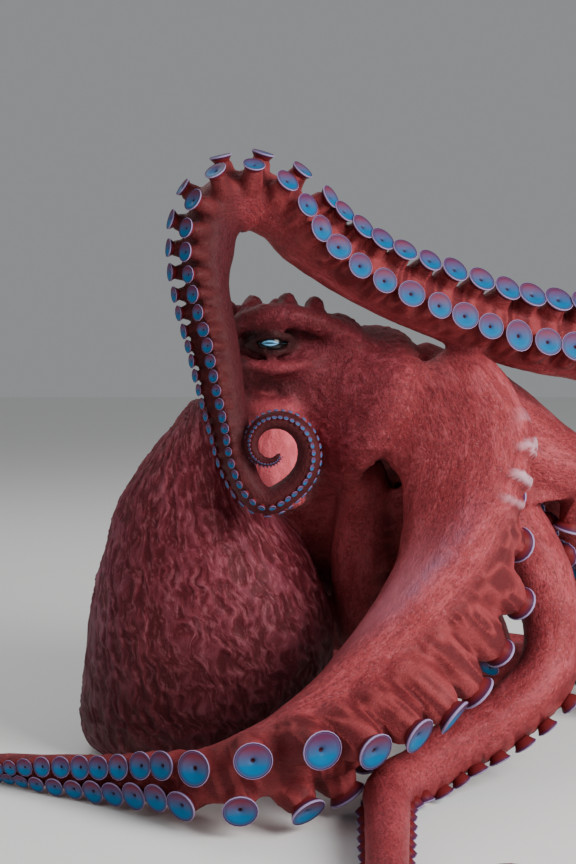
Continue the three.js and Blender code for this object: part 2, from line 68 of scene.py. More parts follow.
def smooth_ramp(values: Array | float, low: float, high: float) -> Array:
    """A smooth step from 0 at low to 1 at high.

    Args:
        values: Where to read the step.
        low: Where it starts.
        high: Where it ends.

    Returns:
        The step at each value.
    """
    share = np.clip((np.asarray(values, float) - low) / (high - low), 0.0, 1.0)
    return share * share * (3.0 - 2.0 * share)


def mix(first: Array | float, second: Array | float, share: Array | float) -> Array | float:
    """A straight blend from first to second."""
    return first + (second - first) * share


def unit(vectors: Array) -> Array:
    """The vectors at length one."""
    vectors = np.asarray(vectors, float)
    return vectors / np.maximum(np.linalg.norm(vectors, axis=-1, keepdims=True), 1e-9)


def dot(first: Array, second: Array) -> Array:
    """The row by row dot product."""
    return np.sum(first * second, axis=-1)


def bump(values: Array, middle: float, reach: float) -> Array:
    """A smooth hill of height one round middle that ends reach away."""
    return 1.0 - smooth_ramp(np.abs(np.asarray(values, float) - middle), 0.0, reach)


def grain(points: Array, seed: int) -> Array:
    """Smooth noise from -1 to 1.

    Args:
        points: Places, in units of one grain.
        seed: Picks one of many unlike fields.

    Returns:
        One value for each place.
    """
    cell = np.floor(points).astype(np.int64)
    part = points - cell
    blend = part * part * part * (part * (part * 6.0 - 15.0) + 10.0)
    total = np.zeros(len(points))
    for corner in product((0, 1), repeat=3):
        at = (cell + np.array(corner)).astype(np.uint64)
        key = at[:, 0] * np.uint64(73856093) ^ at[:, 1] * np.uint64(19349663) ^ at[:, 2] * np.uint64(83492791)
        key = (key ^ np.uint64(seed * 2654435761)) * np.uint64(0x9E3779B97F4A7C15)
        key = (key ^ (key >> np.uint64(29))) * np.uint64(0xBF58476D1CE4E5B9)
        value = ((key >> np.uint64(40)).astype(float) / float(1 << 24)) * 2.0 - 1.0
        share = np.ones(len(points))
        for axis, side in enumerate(corner):
            share *= blend[:, axis] if side else 1.0 - blend[:, axis]
        total += share * value
    return total


def cloudy(points: Array, seed: int, octaves: int = 3) -> Array:
    """Noise of several grain sizes, from about -1 to 1."""
    total = sum(grain(points * 2.03**k + 17.3 * k, seed + k) * 0.5**k for k in range(octaves))
    return total / sum(0.5**k for k in range(octaves))


def creases(points: Array, seed: int) -> Array:
    """Long rounded ridges with narrow valleys between them, from 0 in a valley to 1 on a crest."""
    return 1.0 - np.clip(np.abs(grain(points, seed)) * 2.2, 0.0, 1.0) ** 1.2


# ------------------------------------------------------------------------------------------------ the body's plan


@dataclass(frozen=True)
class SuckerPlan:
    """How one arm's suckers are sized and set.

    share and thin are a sucker's diameter as a share of the arm's thickness where the arm is full and near its tip,
    most its greatest diameter, pitch the step along a row in diameters, lift how far it stands off the arm in
    diameters, and row how far each row lies from the arm's middle line. The rows lean apart by splay, a table of
    (distance, lean).
    """

    share: float
    thin: float
    pitch: float
    lift: float
    row: float
    most: float = 60.0
    splay: Sequence[tuple[float, float]] = ((0.0, 0.2),)


@dataclass(frozen=True)
class ArmPlan:
    """One arm: its place on the root ring, its thickness law and its route.

    flare has the share by which it widens at some distances from the root, keel how much deeper its sucker side is
    there and crest how much higher its back, and swell the middle, reach and height of one more widening. Along its
    strap its back is broad and flat. Past its shade distance its skin is painted darker, as painted shade.

    A route row is [x, y, z, ox, oy, oz]: a point of the centreline and the way that its sucker side faces there. An
    arm on the floor goes on by bends of (length, turn in degrees) from a heading.
    """

    name: str
    ring: int
    route: Sequence[Sequence[float]]
    thickness: float = 42.0
    taper: float = 0.8
    flare: Sequence[tuple[float, float]] = ((0.0, 0.0), (110.0, 0.1), (150.0, 0.1), (350.0, 0.0))
    swell: tuple[float, float, float] = (0.0, 1.0, 0.0)
    keel: Sequence[tuple[float, float]] = ((0.0, 0.0),)
    crest: Sequence[tuple[float, float]] = ((0.0, 0.0),)
    underside: float = 1.15
    strap: tuple[float, float, float] = (0.0, 1.0, 0.0)
    suckers: SuckerPlan | None = None
    bends: Sequence[tuple[float, float]] = ()
    heading: float = 0.0
    painted_shade_from: float = 9000.0


HEAD_CENTRE = np.array([2.0, 66.0, 448.0])
MOUTH_AXIS = unit(np.array([0.86, 0.3, -0.41]))
DORSAL = unit(np.array([0.0, 0.0, 1.0]) - MOUTH_AXIS[2] * MOUTH_AXIS)
RIGHT = np.cross(MOUTH_AXIS, DORSAL)
CROWN_REACH = 112.0
ROOT_RING = 72.0
TIP_RADIUS = 2.2
FLOOR_SINK = 1.5
EYE_RADIUS = 17.0
EYE_CENTRE = np.array([-18.0, 2.0, 480.0])

R1 = ArmPlan(
    name="r1",
    ring=0,
    thickness=46.0,
    taper=0.62,
    flare=((0.0, 0.0), (110.0, 0.35), (150.0, 0.35), (350.0, 0.0)),
    crest=((770.0, 0.0), (850.0, 14.0), (915.0, 18.0), (1000.0, 9.0), (1060.0, 0.0)),
    underside=0.8,
    # R1 is painted darker from 890 mm on: painted shade over its far part.
    painted_shade_from=890.0,
    suckers=SuckerPlan(share=0.47, thin=0.26, pitch=1.06, lift=0.6, row=0.72),
    route=[
        [195, 85, 425, 0.2, 0.6, -0.75],
        [250, 92, 382, 0, 0.6, -0.8],
        [300, 96, 345, 0, 0.5, -0.85],
        [348, 98, 326, 0.2, 0.2, -0.95],
        [394, 96, 346, 0.8, -0.1, -0.6],
        [412, 92, 396, 0.95, -0.3, 0.1],
        [388, 82, 444, 0.6, -0.6, 0.5],
        [342, 72, 470, 0.3, -0.8, 0.5],
        [288, 60, 479, 0.22, -0.82, 0.52],
        [235, 45, 491, 0.2, -0.84, 0.5],
        [178, 28, 511, 0.22, -0.84, 0.5],
        [121, 8, 532, 0.25, -0.82, 0.52],
        [66, -8, 559, 0.35, -0.78, 0.52],
        [23, -20, 593, 0.4, -0.7, 0.6],
        [-3, -30, 622, 0.2, -0.62, 0.76],
        [-34, -42, 638, -0.2, -0.5, 0.84],
        [-66, -54, 632, -0.65, -0.45, 0.6],
        [-82, -62, 606, -0.85, -0.48, 0.2],
        [-86, -70, 564, -0.86, -0.5, 0],
        [-80, -78, 522, -0.84, -0.54, 0],
        [-71, -86, 482, -0.8, -0.6, 0],
        [-64, -94, 440, -0.8, -0.6, 0],
        [-57, -102, 398, -0.8, -0.6, 0],
        [-50, -110, 360, -0.8, -0.55, -0.2],
        [-37, -113, 333, -0.65, -0.5, -0.6],
    ],
)
R2 = ArmPlan(
    name="r2",
    ring=1,
    thickness=54.0,
    taper=1.1,
    flare=((0.0, 1.0), (50.0, 1.1), (90.0, 0.9), (143.0, 0.45), (190.0, 0.25), (260.0, 0.05), (430.0, 0.0)),
    swell=(520.0, 110.0, 0.3),
    keel=((60.0, 0.0), (130.0, 22.0), (215.0, 56.0), (290.0, 50.0), (365.0, 42.0), (440.0, 34.0), (570.0, 0.0)),
    underside=0.9,
    strap=(240.0, 330.0, 1.0),
    suckers=SuckerPlan(
        share=0.7,
        thin=0.72,
        pitch=1.08,
        lift=0.5,
        row=0.6,
        most=40.0,
        splay=((0.0, 0.0), (290.0, 0.05), (370.0, 0.7), (440.0, 0.7), (560.0, 0.2)),
    ),
    route=[
        [172, 12, 398, 0.3, 0.95, 0],
        [190, -4, 352, 0.4, 0.9, -0.1],
        [183, -18, 300, 0.55, 0.8, -0.3],
        [168, -34, 249, 0.64, 0.58, -0.5],
        [135, -58, 198, 0.64, 0.32, -0.7],
        [88, -86, 150, 0.6, 0.06, -0.8],
        [34, -118, 106, 0.46, -0.4, -0.78],
        [-20, -146, 73, 0.2, -0.9, -0.3],
        [-68, -148, 55, 0, -1, 0],
        [-118, -112, 44, 0, -1, 0.1],
        [-190, -66, 31, 0.1, -1, 0],
        [-257, -36, 25, 0.1, -1, -0.1],
        [-320, -8, 20, 0.1, -0.9, -0.4],
    ],
    bends=[(60, 20), (55, 60), (50, 110), (45, 140)],
    heading=152.0,
)
R3 = ArmPlan(
    name="r3",
    ring=2,
    route=[
        [190, 66, 338, 0.5, 0.7, -0.2],
        [258, 74, 268, 0.5, 0.6, -0.5],
        [296, 56, 190, 0.4, 0.3, -0.8],
        [288, 22, 118, 0.1, 0.1, -1],
        [236, -8, 74, -0.1, 0, -1],
        [170, -40, 46, -0.1, 0, -1],
    ],
    bends=[(80, 22), (70, 36), (150, 0), (110, 50), (120, 90), (130, 110), (90, 150)],
    heading=208.0,
)
R4 = ArmPlan(
    name="r4",
    ring=3,
    route=[
        [90, 98, 292, 0.8, 0.3, 0],
        [88, 122, 222, 0.8, 0.3, -0.3],
        [92, 156, 148, 0.6, 0.3, -0.7],
        [112, 212, 84, 0.2, 0, -1],
    ],
    bends=[(150, 24), (180, -40), (170, -60), (140, 50), (120, 110), (80, 150)],
    heading=66.0,
)
L4 = ArmPlan(
    name="l4",
    ring=4,
    route=[
        [50, 172, 288, 0.6, -0.2, -0.3],
        [30, 220, 222, 0.4, -0.2, -0.6],
        [18, 276, 150, 0.2, -0.2, -0.8],
        [4, 342, 82, 0, 0, -1],
    ],
    bends=[(130, 40), (150, -100), (150, -80), (130, -100), (110, -110), (90, -130), (70, -140)],
    heading=112.0,
)
L3 = ArmPlan(
    name="l3",
    ring=5,
    route=[
        [118, 224, 344, 0.8, -0.2, -0.4],
        [170, 286, 272, 0.6, 0.2, -0.6],
        [220, 332, 182, 0.4, 0.3, -0.8],
        [262, 366, 98, 0.1, 0.1, -1],
    ],
    bends=[(150, -30), (180, -20), (190, 50), (160, 40), (120, -110), (90, -160)],
    heading=40.0,
)
L2 = ArmPlan(
    name="l2",
    ring=6,
    route=[
        [158, 206, 396, 0.5, -0.5, -0.5],
        [236, 246, 338, 0.4, -0.3, -0.8],
        [310, 270, 250, 0.2, -0.2, -0.9],
        [366, 280, 158, 0.1, 0, -1],
        [420, 284, 78, 0, 0, -1],
    ],
    bends=[(150, -20), (180, 20), (160, -50), (120, 100), (100, 170)],
    heading=0.0,
)
L1 = ArmPlan(
    name="l1",
    ring=7,
    route=[
        [190, 164, 420, 0.2, -0.3, -0.9],
        [262, 186, 362, 0.1, -0.2, -0.95],
        [330, 198, 284, 0, 0, -1],
        [390, 206, 192, 0, 0, -1],
        [446, 204, 104, 0, 0, -1],
    ],
    bends=[(140, -25), (180, -60), (180, -40), (160, 60), (120, 130), (80, 120)],
    heading=-20.0,
)
ARM_PLANS = (R1, R2, R3, R4, L4, L3, L2, L1)
WEB_REACH = (270.0, 330.0, 320.0, 450.0, 380.0, 320.0, 320.0, 300.0)
WEB_BULGE = (0.0, 0.0, 0.0, 90.0, 0.0, 0.0, 0.0, 0.0)


def head_point(forward: float, dorsal: float, right: float) -> Array:
    """A point given along the mouth axis, upwards and to the animal's right from the head's centre."""
    return HEAD_CENTRE + forward * MOUTH_AXIS + dorsal * DORSAL + right * RIGHT


def mirrored(point: Array) -> Array:
    """The left-hand twin of a point on the animal's right side."""
    return point - 2.0 * np.dot(point - HEAD_CENTRE, RIGHT) * RIGHT


# ------------------------------------------------------------------------------------------------ curves and arms


def through_points(points: Array, keys: Array) -> Array:
    """A smooth centripetal Catmull-Rom curve.

    Args:
        points: The rows that it runs through.
        keys: Where to read it, 0 at the first row, 1 at the second and so on.

    Returns:
        One place for each key.
    """
    rows = np.asarray(points, float)
    rows = np.vstack([2 * rows[0] - rows[1], rows, 2 * rows[-1] - rows[-2]])
    k = np.clip(np.floor(keys).astype(int), 0, len(points) - 2)
    t = (np.asarray(keys) - k)[:, None]
    before, start, end, after = rows[k], rows[k + 1], rows[k + 2], rows[k + 3]
    spans = ((before, start), (start, end), (end, after))
    steps = [np.linalg.norm(b - a, axis=1, keepdims=True) ** 0.5 for a, b in spans]
    d0, d1, d2 = (np.maximum(s, 1e-3) for s in steps)
    leave = ((start - before) / d0 - (end - before) / (d0 + d1) + (end - start) / d1) * d1
    arrive = ((end - start) / d1 - (after - start) / (d1 + d2) + (after - end) / d2) * d1
    square = 3.0 * (end - start) - 2.0 * leave - arrive
    cube = 2.0 * (start - end) + leave + arrive
    return start + leave * t + square * t * t + cube * t**3


@dataclass
class Sections:
    """An arm's sections at some distances from its root: one row each."""

    centre: Array
    tangent: Array
    oral: Array
    lateral: Array
    half: Array
    wide: Array
    high: Array
    depth: Array
    spread: Array
    strap: Array


class ArmCurve:
    """An arm's centreline with its sizes and directions."""

    def __init__(self, plan: ArmPlan) -> None:
        """Lays the arm's route and measures it.

        Args:
            plan: The arm's plan.
        """
        self.plan = plan
        angle = math.radians((plan.ring + 0.5) * 45.0)
        root = head_point(CROWN_REACH, ROOT_RING * math.cos(angle), ROOT_RING * math.sin(angle))
        inward = unit(head_point(CROWN_REACH, 0, 0) - root)
        rows = [[*root, *inward], *plan.route]
        drawn = self._measured(np.array(rows, float)[:, :3])[1][-1]
        rows += self._floor_rows(rows[-1][:3], drawn) if plan.bends else self._spiral_rows()
        table = np.array(rows, float)
        keys, self._reach = self._measured(table[:, :3])
        self._places = through_points(table[:, :3], keys)
        self._tangents = unit(np.gradient(self._places, axis=0))
        facing = unit(table[:, 3:])
        self._orals = np.column_stack([np.interp(keys, np.arange(len(facing)), facing[:, k]) for k in range(3)])
        self.length = float(self._reach[-1])

    @staticmethod
    def _measured(points: Array) -> tuple[Array, Array]:
        """The fine keys of a route and the distance gone at each.

        Args:
            points: The route.

        Returns:
            The keys and the distances.
        """
        keys = np.linspace(0, len(points) - 1, (len(points) - 1) * 30 + 1)
        steps = np.linalg.norm(np.diff(through_points(points, keys), axis=0), axis=1)
        return keys, np.concatenate([[0.0], np.cumsum(steps)])

    def _half(self, distance: Array | float, length: float) -> Array | float:
        """Half the arm's thickness at a distance from its root.

        Args:
            distance: How far from the root.
            length: The arm's whole length.

        Returns:
            Half the thickness, in millimetres.
        """
        left = np.clip(1.0 - np.asarray(distance) / length, 0.0, 1.0) ** self.plan.taper
        return ((self.plan.thickness - TIP_RADIUS) * left + TIP_RADIUS) * (0.68 + 0.32 * smooth_ramp(distance, 0, 150))

    def _floor_rows(self, start: Sequence[float], used: float) -> list[list[float]]:
        """Route rows along the floor, a walk of short steps whose heading changes bend by bend.

        Args:
            start: Where the walk begins.
            used: The length of arm before it.

        Returns:
            One row for each step: the place and the way the suckers face.
        """
        plan, stride, rows = self.plan, 42.0, []
        rest = plan.suckers.row + plan.suckers.share if plan.suckers else plan.underside
        total = used + sum(length for length, _ in plan.bends)
        x, y, walked, heading = start[0], start[1], used, math.radians(plan.heading)
        for length, turn in plan.bends:
            steps = max(1, math.floor(length / stride + 0.5))
            for _ in range(steps):
                heading += math.radians(turn) / steps
                walked += length / steps
                x += math.cos(heading) * length / steps
                y += math.sin(heading) * length / steps
                z = float(self._half(walked, total)) * rest - FLOOR_SINK
                facing = (math.sin(heading), -math.cos(heading), -0.5) if plan.suckers else (0.0, 0.0, -1.0)
                rows.append([x, y, z, *facing])
        return rows

    @staticmethod
    def _spiral_rows() -> list[list[float]]:
        """Route rows of the raised arm's spiral end.

        Returns:
            One row for each step: the place and the way the suckers face.
        """
        centre, start, end, first, last, steps, twist = (-16.0, -113.0, 378.0), 56.0, 8.5, -95.0, 345.0, 19, 0.5
        rows = []
        for i in range(steps):
            t = i / (steps - 1)
            angle = math.radians(mix(first, last, t**0.9))
            radius = mix(start, end, t**0.55)
            facing = (math.cos(angle), -twist, math.sin(angle))
            rows.append([centre[0] + radius * facing[0], centre[1] - 18 * t, centre[2] + radius * facing[2], *facing])
        return rows

    @staticmethod
    def table(rows: Sequence[tuple[float, float]], distances: Array | float) -> Array:
        """Reads a table of (distance, value) with rounded steps between its rows.

        Args:
            rows: The table.
            distances: Where to read it.

        Returns:
            The values there.
        """
        known, values = np.array(rows, float).T
        if len(known) == 1:
            return np.full(np.shape(distances), values[0])
        row = np.clip(np.searchsorted(known, distances, side="right") - 1, 0, len(known) - 2)
        share = smooth_ramp((distances - known[row]) / (known[row + 1] - known[row]), 0.0, 1.0)
        return values[row] + (values[row + 1] - values[row]) * share

    def at(self, distances: Array) -> Sections:
        """The arm's sections at some distances from its root.

        Args:
            distances: How far along the arm, in millimetres.

        Returns:
            The sections.
        """
        d = np.clip(np.atleast_1d(np.asarray(distances, float)), 0.0, self.length)

        def read(table: Array) -> Array:
            """Three columns of a table, at the asked distances."""
            return np.column_stack([np.interp(d, self._reach, table[:, k]) for k in range(3)])

        plan, tangent = self.plan, unit(read(self._tangents))
        oral = read(self._orals)
        oral = unit(oral - dot(oral, tangent)[:, None] * tangent)
        half = self._half(d, self.length)
        flare, keel, crest = (self.table(rows, d) for rows in (plan.flare, plan.keel, plan.crest))
        swell = plan.swell[2] * bump(d, plan.swell[0], plan.swell[1])
        return Sections(
            centre=read(self._places),
            tangent=tangent,
            oral=oral,
            lateral=np.cross(tangent, oral),
            half=half,
            wide=half * (0.95 + flare + swell),
            high=half + crest,
            depth=plan.underside * half + keel,
            spread=half * (1.0 + swell),
            strap=plan.strap[2] * bump(d, plan.strap[0], plan.strap[1]),
        )


# ------------------------------------------------------------------------------------------------ mesh making

Placer = Callable[[Array, Array], Array]


def rolled_grid(bm: bmesh.types.BMesh, columns: int, rows: int, place: Placer) -> list[bmesh.types.BMFace]:
    """Adds a closed bulb or tube: a grid that is rolled up, with its seam and both its ends merged.

    Args:
        bm: The mesh that it joins.
        columns: Faces round it.
        rows: Faces along it.
        place: Gives the places for the shares round and along, each from 0 to 1.

    Returns:
        Its faces.
    """
    made = bmesh.ops.create_grid(bm, x_segments=columns, y_segments=rows, size=0.5)["verts"]
    flat = np.array([v.co for v in made]) + 0.5
    around = np.where(flat[:, 0] > 1.0 - 1e-6, 0.0, flat[:, 0])
    for vert, spot in zip(made, place(around, flat[:, 1])):
        vert.co = spot
    bmesh.ops.remove_doubles(bm, verts=made, dist=1e-4)
    faces = list({f for v in made if v.is_valid for f in v.link_faces})
    bmesh.ops.recalc_face_normals(bm, faces=faces)
    return faces


def object_of(name: str, mesh: bpy.types.Mesh) -> bpy.types.Object:
    """A new object in the scene for a mesh."""
    made = bpy.data.objects.new(name, mesh)
    bpy.context.scene.collection.objects.link(made)
    return made


def evaluated(obj: bpy.types.Object) -> bpy.types.Mesh:
    """A copy of an object's mesh with its modifiers applied."""
    graph = bpy.context.evaluated_depsgraph_get()
    return bpy.data.meshes.new_from_object(obj.evaluated_get(graph), preserve_all_data_layers=True, depsgraph=graph)


def apply_modifiers(obj: bpy.types.Object) -> None:
    """Bakes an object's modifiers into its mesh.

    Args:
        obj: The object.
    """
    mesh = evaluated(obj)
    obj.modifiers.clear()
    old, obj.data = obj.data, mesh
    bpy.data.meshes.remove(old)


def places_of(mesh: bpy.types.Mesh) -> Array:
    """A mesh's vertex places, one row each."""
    flat = np.empty(len(mesh.vertices) * 3, np.float32)
    mesh.vertices.foreach_get("co", flat)
    return flat.reshape(-1, 3).astype(float)


def normals_of(mesh: bpy.types.Mesh) -> Array:
    """A mesh's vertex normals, one row each."""
    flat = np.empty(len(mesh.vertices) * 3, np.float32)
    mesh.vertices.foreach_get("normal", flat)
    return flat.reshape(-1, 3).astype(float)


def set_places(mesh: bpy.types.Mesh, places: Array) -> None:
    """Moves a mesh's vertices."""
    mesh.vertices.foreach_set("co", places.astype(np.float32).ravel())
    mesh.update()


def set_attribute(mesh: bpy.types.Mesh, name: str, values: Array) -> None:
    """Keeps one number for each vertex under a name that materials can read."""
    layer = mesh.attributes.get(name) or mesh.attributes.new(name, "FLOAT", "POINT")
    layer.data.foreach_set("value", values.astype(np.float32))


def edges_of(mesh: bpy.types.Mesh) -> Array:
    """A mesh's edges as pairs of vertex numbers."""
    flat = np.empty(len(mesh.edges) * 2, np.int32)
    mesh.edges.foreach_get("vertices", flat)
    return flat.reshape(-1, 2)


# ------------------------------------------------------------------------------------------------ the flesh


class Flesh(IntEnum):
    """What a patch of skin belongs to. Arm number k is ARM + k, and its sucker stalks are STALK + k."""

    MANTLE = 0
    HEAD = 1
    FUNNEL = 2
    LID = 3
    WEB = 4
    HORN = 5
    ARM = 10
    STALK = 20


class SourceBody:
    """Closed overlapping forms, each face marked with what it belongs to, that the skin is drawn over."""

    def __init__(self) -> None:
        """Starts an empty body."""
        self.bm = bmesh.new()
        self.marks: list[int] = []

    def add(self, mark: int, columns: int, rows: int, place: Placer) -> None:
        """Adds one closed form.

        Args:
            mark: What it belongs to.
            columns: Faces round it.
            rows: Faces along it.
            place: Gives its places.
        """
        layer = self.bm.faces.layers.int.get("mark") or self.bm.faces.layers.int.new("mark")
        for face in rolled_grid(self.bm, columns, rows, place):
            face[layer] = mark

    def blob(self, mark: int, centre: Array, radii: Sequence[float], axes: Sequence[Array], columns: int = 20) -> None:
        """Adds an egg of flesh.

        Args:
            mark: What it belongs to.
            centre: Its middle.
            radii: Its half sizes.
            axes: Its three directions.
            columns: Faces round it.
        """

        def place(u: Array, v: Array) -> Array:
            """The egg's surface for shares round it and along it."""
            round_, along = u * 2 * math.pi, v * math.pi
            ball = np.column_stack([np.sin(along) * np.cos(round_), np.sin(along) * np.sin(round_), np.cos(along)])
            return centre + (ball * np.array(radii)) @ np.array(axes)

        self.add(mark, columns, columns // 2, place)

    def sausage(self, mark: int, points: Sequence[Sequence[float]], radii: Sequence[float], columns: int = 14) -> None:
        """Adds a bent round bar with round ends.

        Args:
            mark: What it belongs to.
            points: The middle line.
            radii: The radius at each of those points.
            columns: Faces round it.
        """
        line, sizes = np.array(points, float), np.array(radii, float)

        def place(u: Array, v: Array) -> Array:
            """The bar's surface for shares round it and along it."""
            share = 0.5 - 0.5 * np.cos(v * math.pi)
            keys = share * (len(line) - 1)
            middle = through_points(line, keys)
            after = through_points(line, np.minimum(keys + 0.02, len(line) - 1))
            ahead = unit(after - through_points(line, np.maximum(keys - 0.02, 0)))
            side = unit(np.cross(ahead, np.array([0.13, -0.31, 0.94])))
            over = np.cross(side, ahead)
            size = np.interp(keys, np.arange(len(sizes)), sizes)
            ring = (size * np.sin(v * math.pi) ** 0.4)[:, None]
            angle = (u * 2 * math.pi)[:, None]
            ends = ahead * (size * (2 * share - 1) ** 9)[:, None]
            return middle + ends + ring * (side * np.cos(angle) + over * np.sin(angle))

        self.add(mark, columns, 24, place)


@dataclass
class Mantle:
    """The muscular sac: sections from the floor up, [height, centre x, half width, half depth]."""

    sections: Sequence[Sequence[float]] = (
        (-1.5, -133, 86, 74),
        (17, -127, 112, 98),
        (47, -113, 133, 116),
        (84, -98, 145, 126),
        (131, -91, 146, 129),
        (178, -91, 139, 125),
        (226, -95, 124, 115),
        (261, -101, 108, 105),
        (297, -109, 87, 92),
        (332, -105, 70, 80),
        (378, -90, 50, 62),
        (414, -78, 34, 44),
    )
    middle_y: float = 118.0

    def build(self, body: SourceBody) -> None:
        """Adds the sac to the body.

        Args:
            body: The flesh so far.
        """
        table = np.array(self.sections, float)

        def place(u: Array, v: Array) -> Array:
            """The sac's surface for shares round it and up it."""
            keys = np.clip((v * 1.08 - 0.04), 0, 1) * (len(table) - 1)
            z, x, across, deep = through_points(table, keys).T
            close = smooth_ramp(v, 0.0, 0.04) * (1 - smooth_ramp(v, 0.96, 1.0))
            angle = u * 2 * math.pi
            return np.column_stack(
                [x + across * close * np.sin(angle), self.middle_y + deep * close * np.cos(angle), z]
            )

        body.add(Flesh.MANTLE, 64, 76, place)


@dataclass
class Head:
    """The head from the neck to the crown: [distance along the mouth axis, half height, half width]."""

    sections: Sequence[Sequence[float]] = (
        (-70, 24, 30),
        (-56, 44, 50),
        (-24, 60, 64),
        (16, 67, 76),
        (52, 80, 96),
        (84, 95, 112),
        (104, 96, 112),
        (112, 74, 84),
    )
    horns: Sequence[Sequence[float]] = (
        (-22, 2, 38, 11.0),
        (17, 0, 43, 11.5),
        (47, 5, 40, 11.0),
    )

    def build(self, body: SourceBody) -> None:
        """Adds the skull, the eye mounds, the lids and the brow horns.

        Args:
            body: The flesh so far.
        """
        table = np.array(self.sections, float)

        def place(u: Array, v: Array) -> Array:
            """The skull's surface for shares round the mouth's axis and along it."""
            keys = np.clip(v * 1.08 - 0.04, 0, 1) * (len(table) - 1)
            along, tall, across = through_points(table, keys).T
            close = smooth_ramp(v, 0.0, 0.04) * (1 - smooth_ramp(v, 0.96, 1.0))
            angle = u * 2 * math.pi
            return (
                HEAD_CENTRE
                + along[:, None] * MOUTH_AXIS
                + (tall * close * np.cos(angle))[:, None] * DORSAL
                + (across * close * np.sin(angle))[:, None] * RIGHT
            )

        body.add(Flesh.HEAD, 56, 50, place)
        for flip in (False, True):
            self._eye_ground(body, flip)

    def _eye_ground(self, body: SourceBody, flip: bool) -> None:
        """Adds one eye's mound with its lids, brow and horns.

        Args:
            body: The flesh so far.
            flip: Whether it is the left eye's.
        """

        def at(x: float, y: float, z: float) -> Array:
            """A place measured from the eye."""
            spot = EYE_CENTRE + np.array([x, y, z])
            return mirrored(spot) if flip else spot

        axes = np.eye(3)
        body.blob(Flesh.HEAD, at(10, 38, -4), (50, 34, 38), axes, 28)
        body.blob(Flesh.HEAD, at(70, 36, 2), (36, 28, 34), axes, 24)
        brow = [at(-46, 26, 8), at(-28, -4, 24), at(2, -14, 30), at(34, -7, 27), at(70, 8, 14), at(108, 26, -8)]
        body.sausage(Flesh.HEAD, brow, [10, 13, 14, 14, 16, 15])
        upper = [at(-25, 6, 1), at(-13, -11, 7), at(0, -16.5, 9.5), at(13, -11, 8), at(26, 6, 2)]
        body.sausage(Flesh.LID, upper, [5, 5, 5.5, 5, 5])
        lower = [at(-25, 6, -2), at(-13, -11, -7), at(0, -16, -10), at(13, -11, -8), at(26, 6, -3)]
        body.sausage(Flesh.LID, lower, [5, 4.5, 5, 4.5, 5])
        fold = [at(-38, 16, -12), at(-18, -10, -24), at(6, -15, -27), at(32, -9, -23), at(58, 12, -10)]
        body.sausage(Flesh.HEAD, fold, [7, 8, 9, 8, 7])
        pouch = [at(-34, 18, -60), at(-16, -1, -70), at(10, -3, -73), at(36, 10, -64)]
        body.sausage(Flesh.HEAD, pouch, [12, 15, 16, 13])
        for x, y, z, size in self.horns:
            body.blob(Flesh.HORN, at(x, y, z - 2), (size, size, size * 1.25), axes, 18)


@dataclass
class Funnel:
    """The siphon under the head, open at its free end."""

    route: Sequence[Sequence[float]] = ((-22, 56, 420), (-17, 22, 392), (-12, -2, 356), (-6, -14, 322), (-2, -18, 302))
    radii: Sequence[float] = (36, 35, 31, 26, 21)
    wall: float = 6.0
    bore: float = 30.0

    def build(self, body: SourceBody) -> None:
        """Adds the tube: out along its outside, round the rim and back in along its bore.

        Args:
            body: The flesh so far.
        """
        line, sizes = np.array(self.route, float), np.array(self.radii, float)
        steps = len(line) - 1
        back = steps - self.bore / 26.0

        def place(u: Array, v: Array) -> Array:
            """The tube's surface for shares round it and along its wall, out and back."""
            out = v < 0.75
            keys = np.where(out, v / 0.75 * steps, mix(steps, back, (v - 0.75) / 0.25))
            keys = np.clip(keys, 0, steps)
            size = np.interp(keys, np.arange(len(sizes)), sizes) - np.where(out, 0.0, self.wall)
            size = size * np.where(out, smooth_ramp(v, -0.02, 0.05), 1 - smooth_ramp(v, 0.93, 1.0))
            middle = through_points(line, keys)
            after = through_points(line, np.minimum(keys + 0.05, steps))
            ahead = unit(after - through_points(line, np.maximum(keys - 0.05, 0)))
            side = unit(np.cross(ahead, np.array([0.0, 1.0, 0.0])))
            over = np.cross(side, ahead)
            angle = (u * 2 * math.pi)[:, None]
            return middle + size[:, None] * (side * np.cos(angle) + over * np.sin(angle))

        body.add(Flesh.FUNNEL, 32, 48, place)


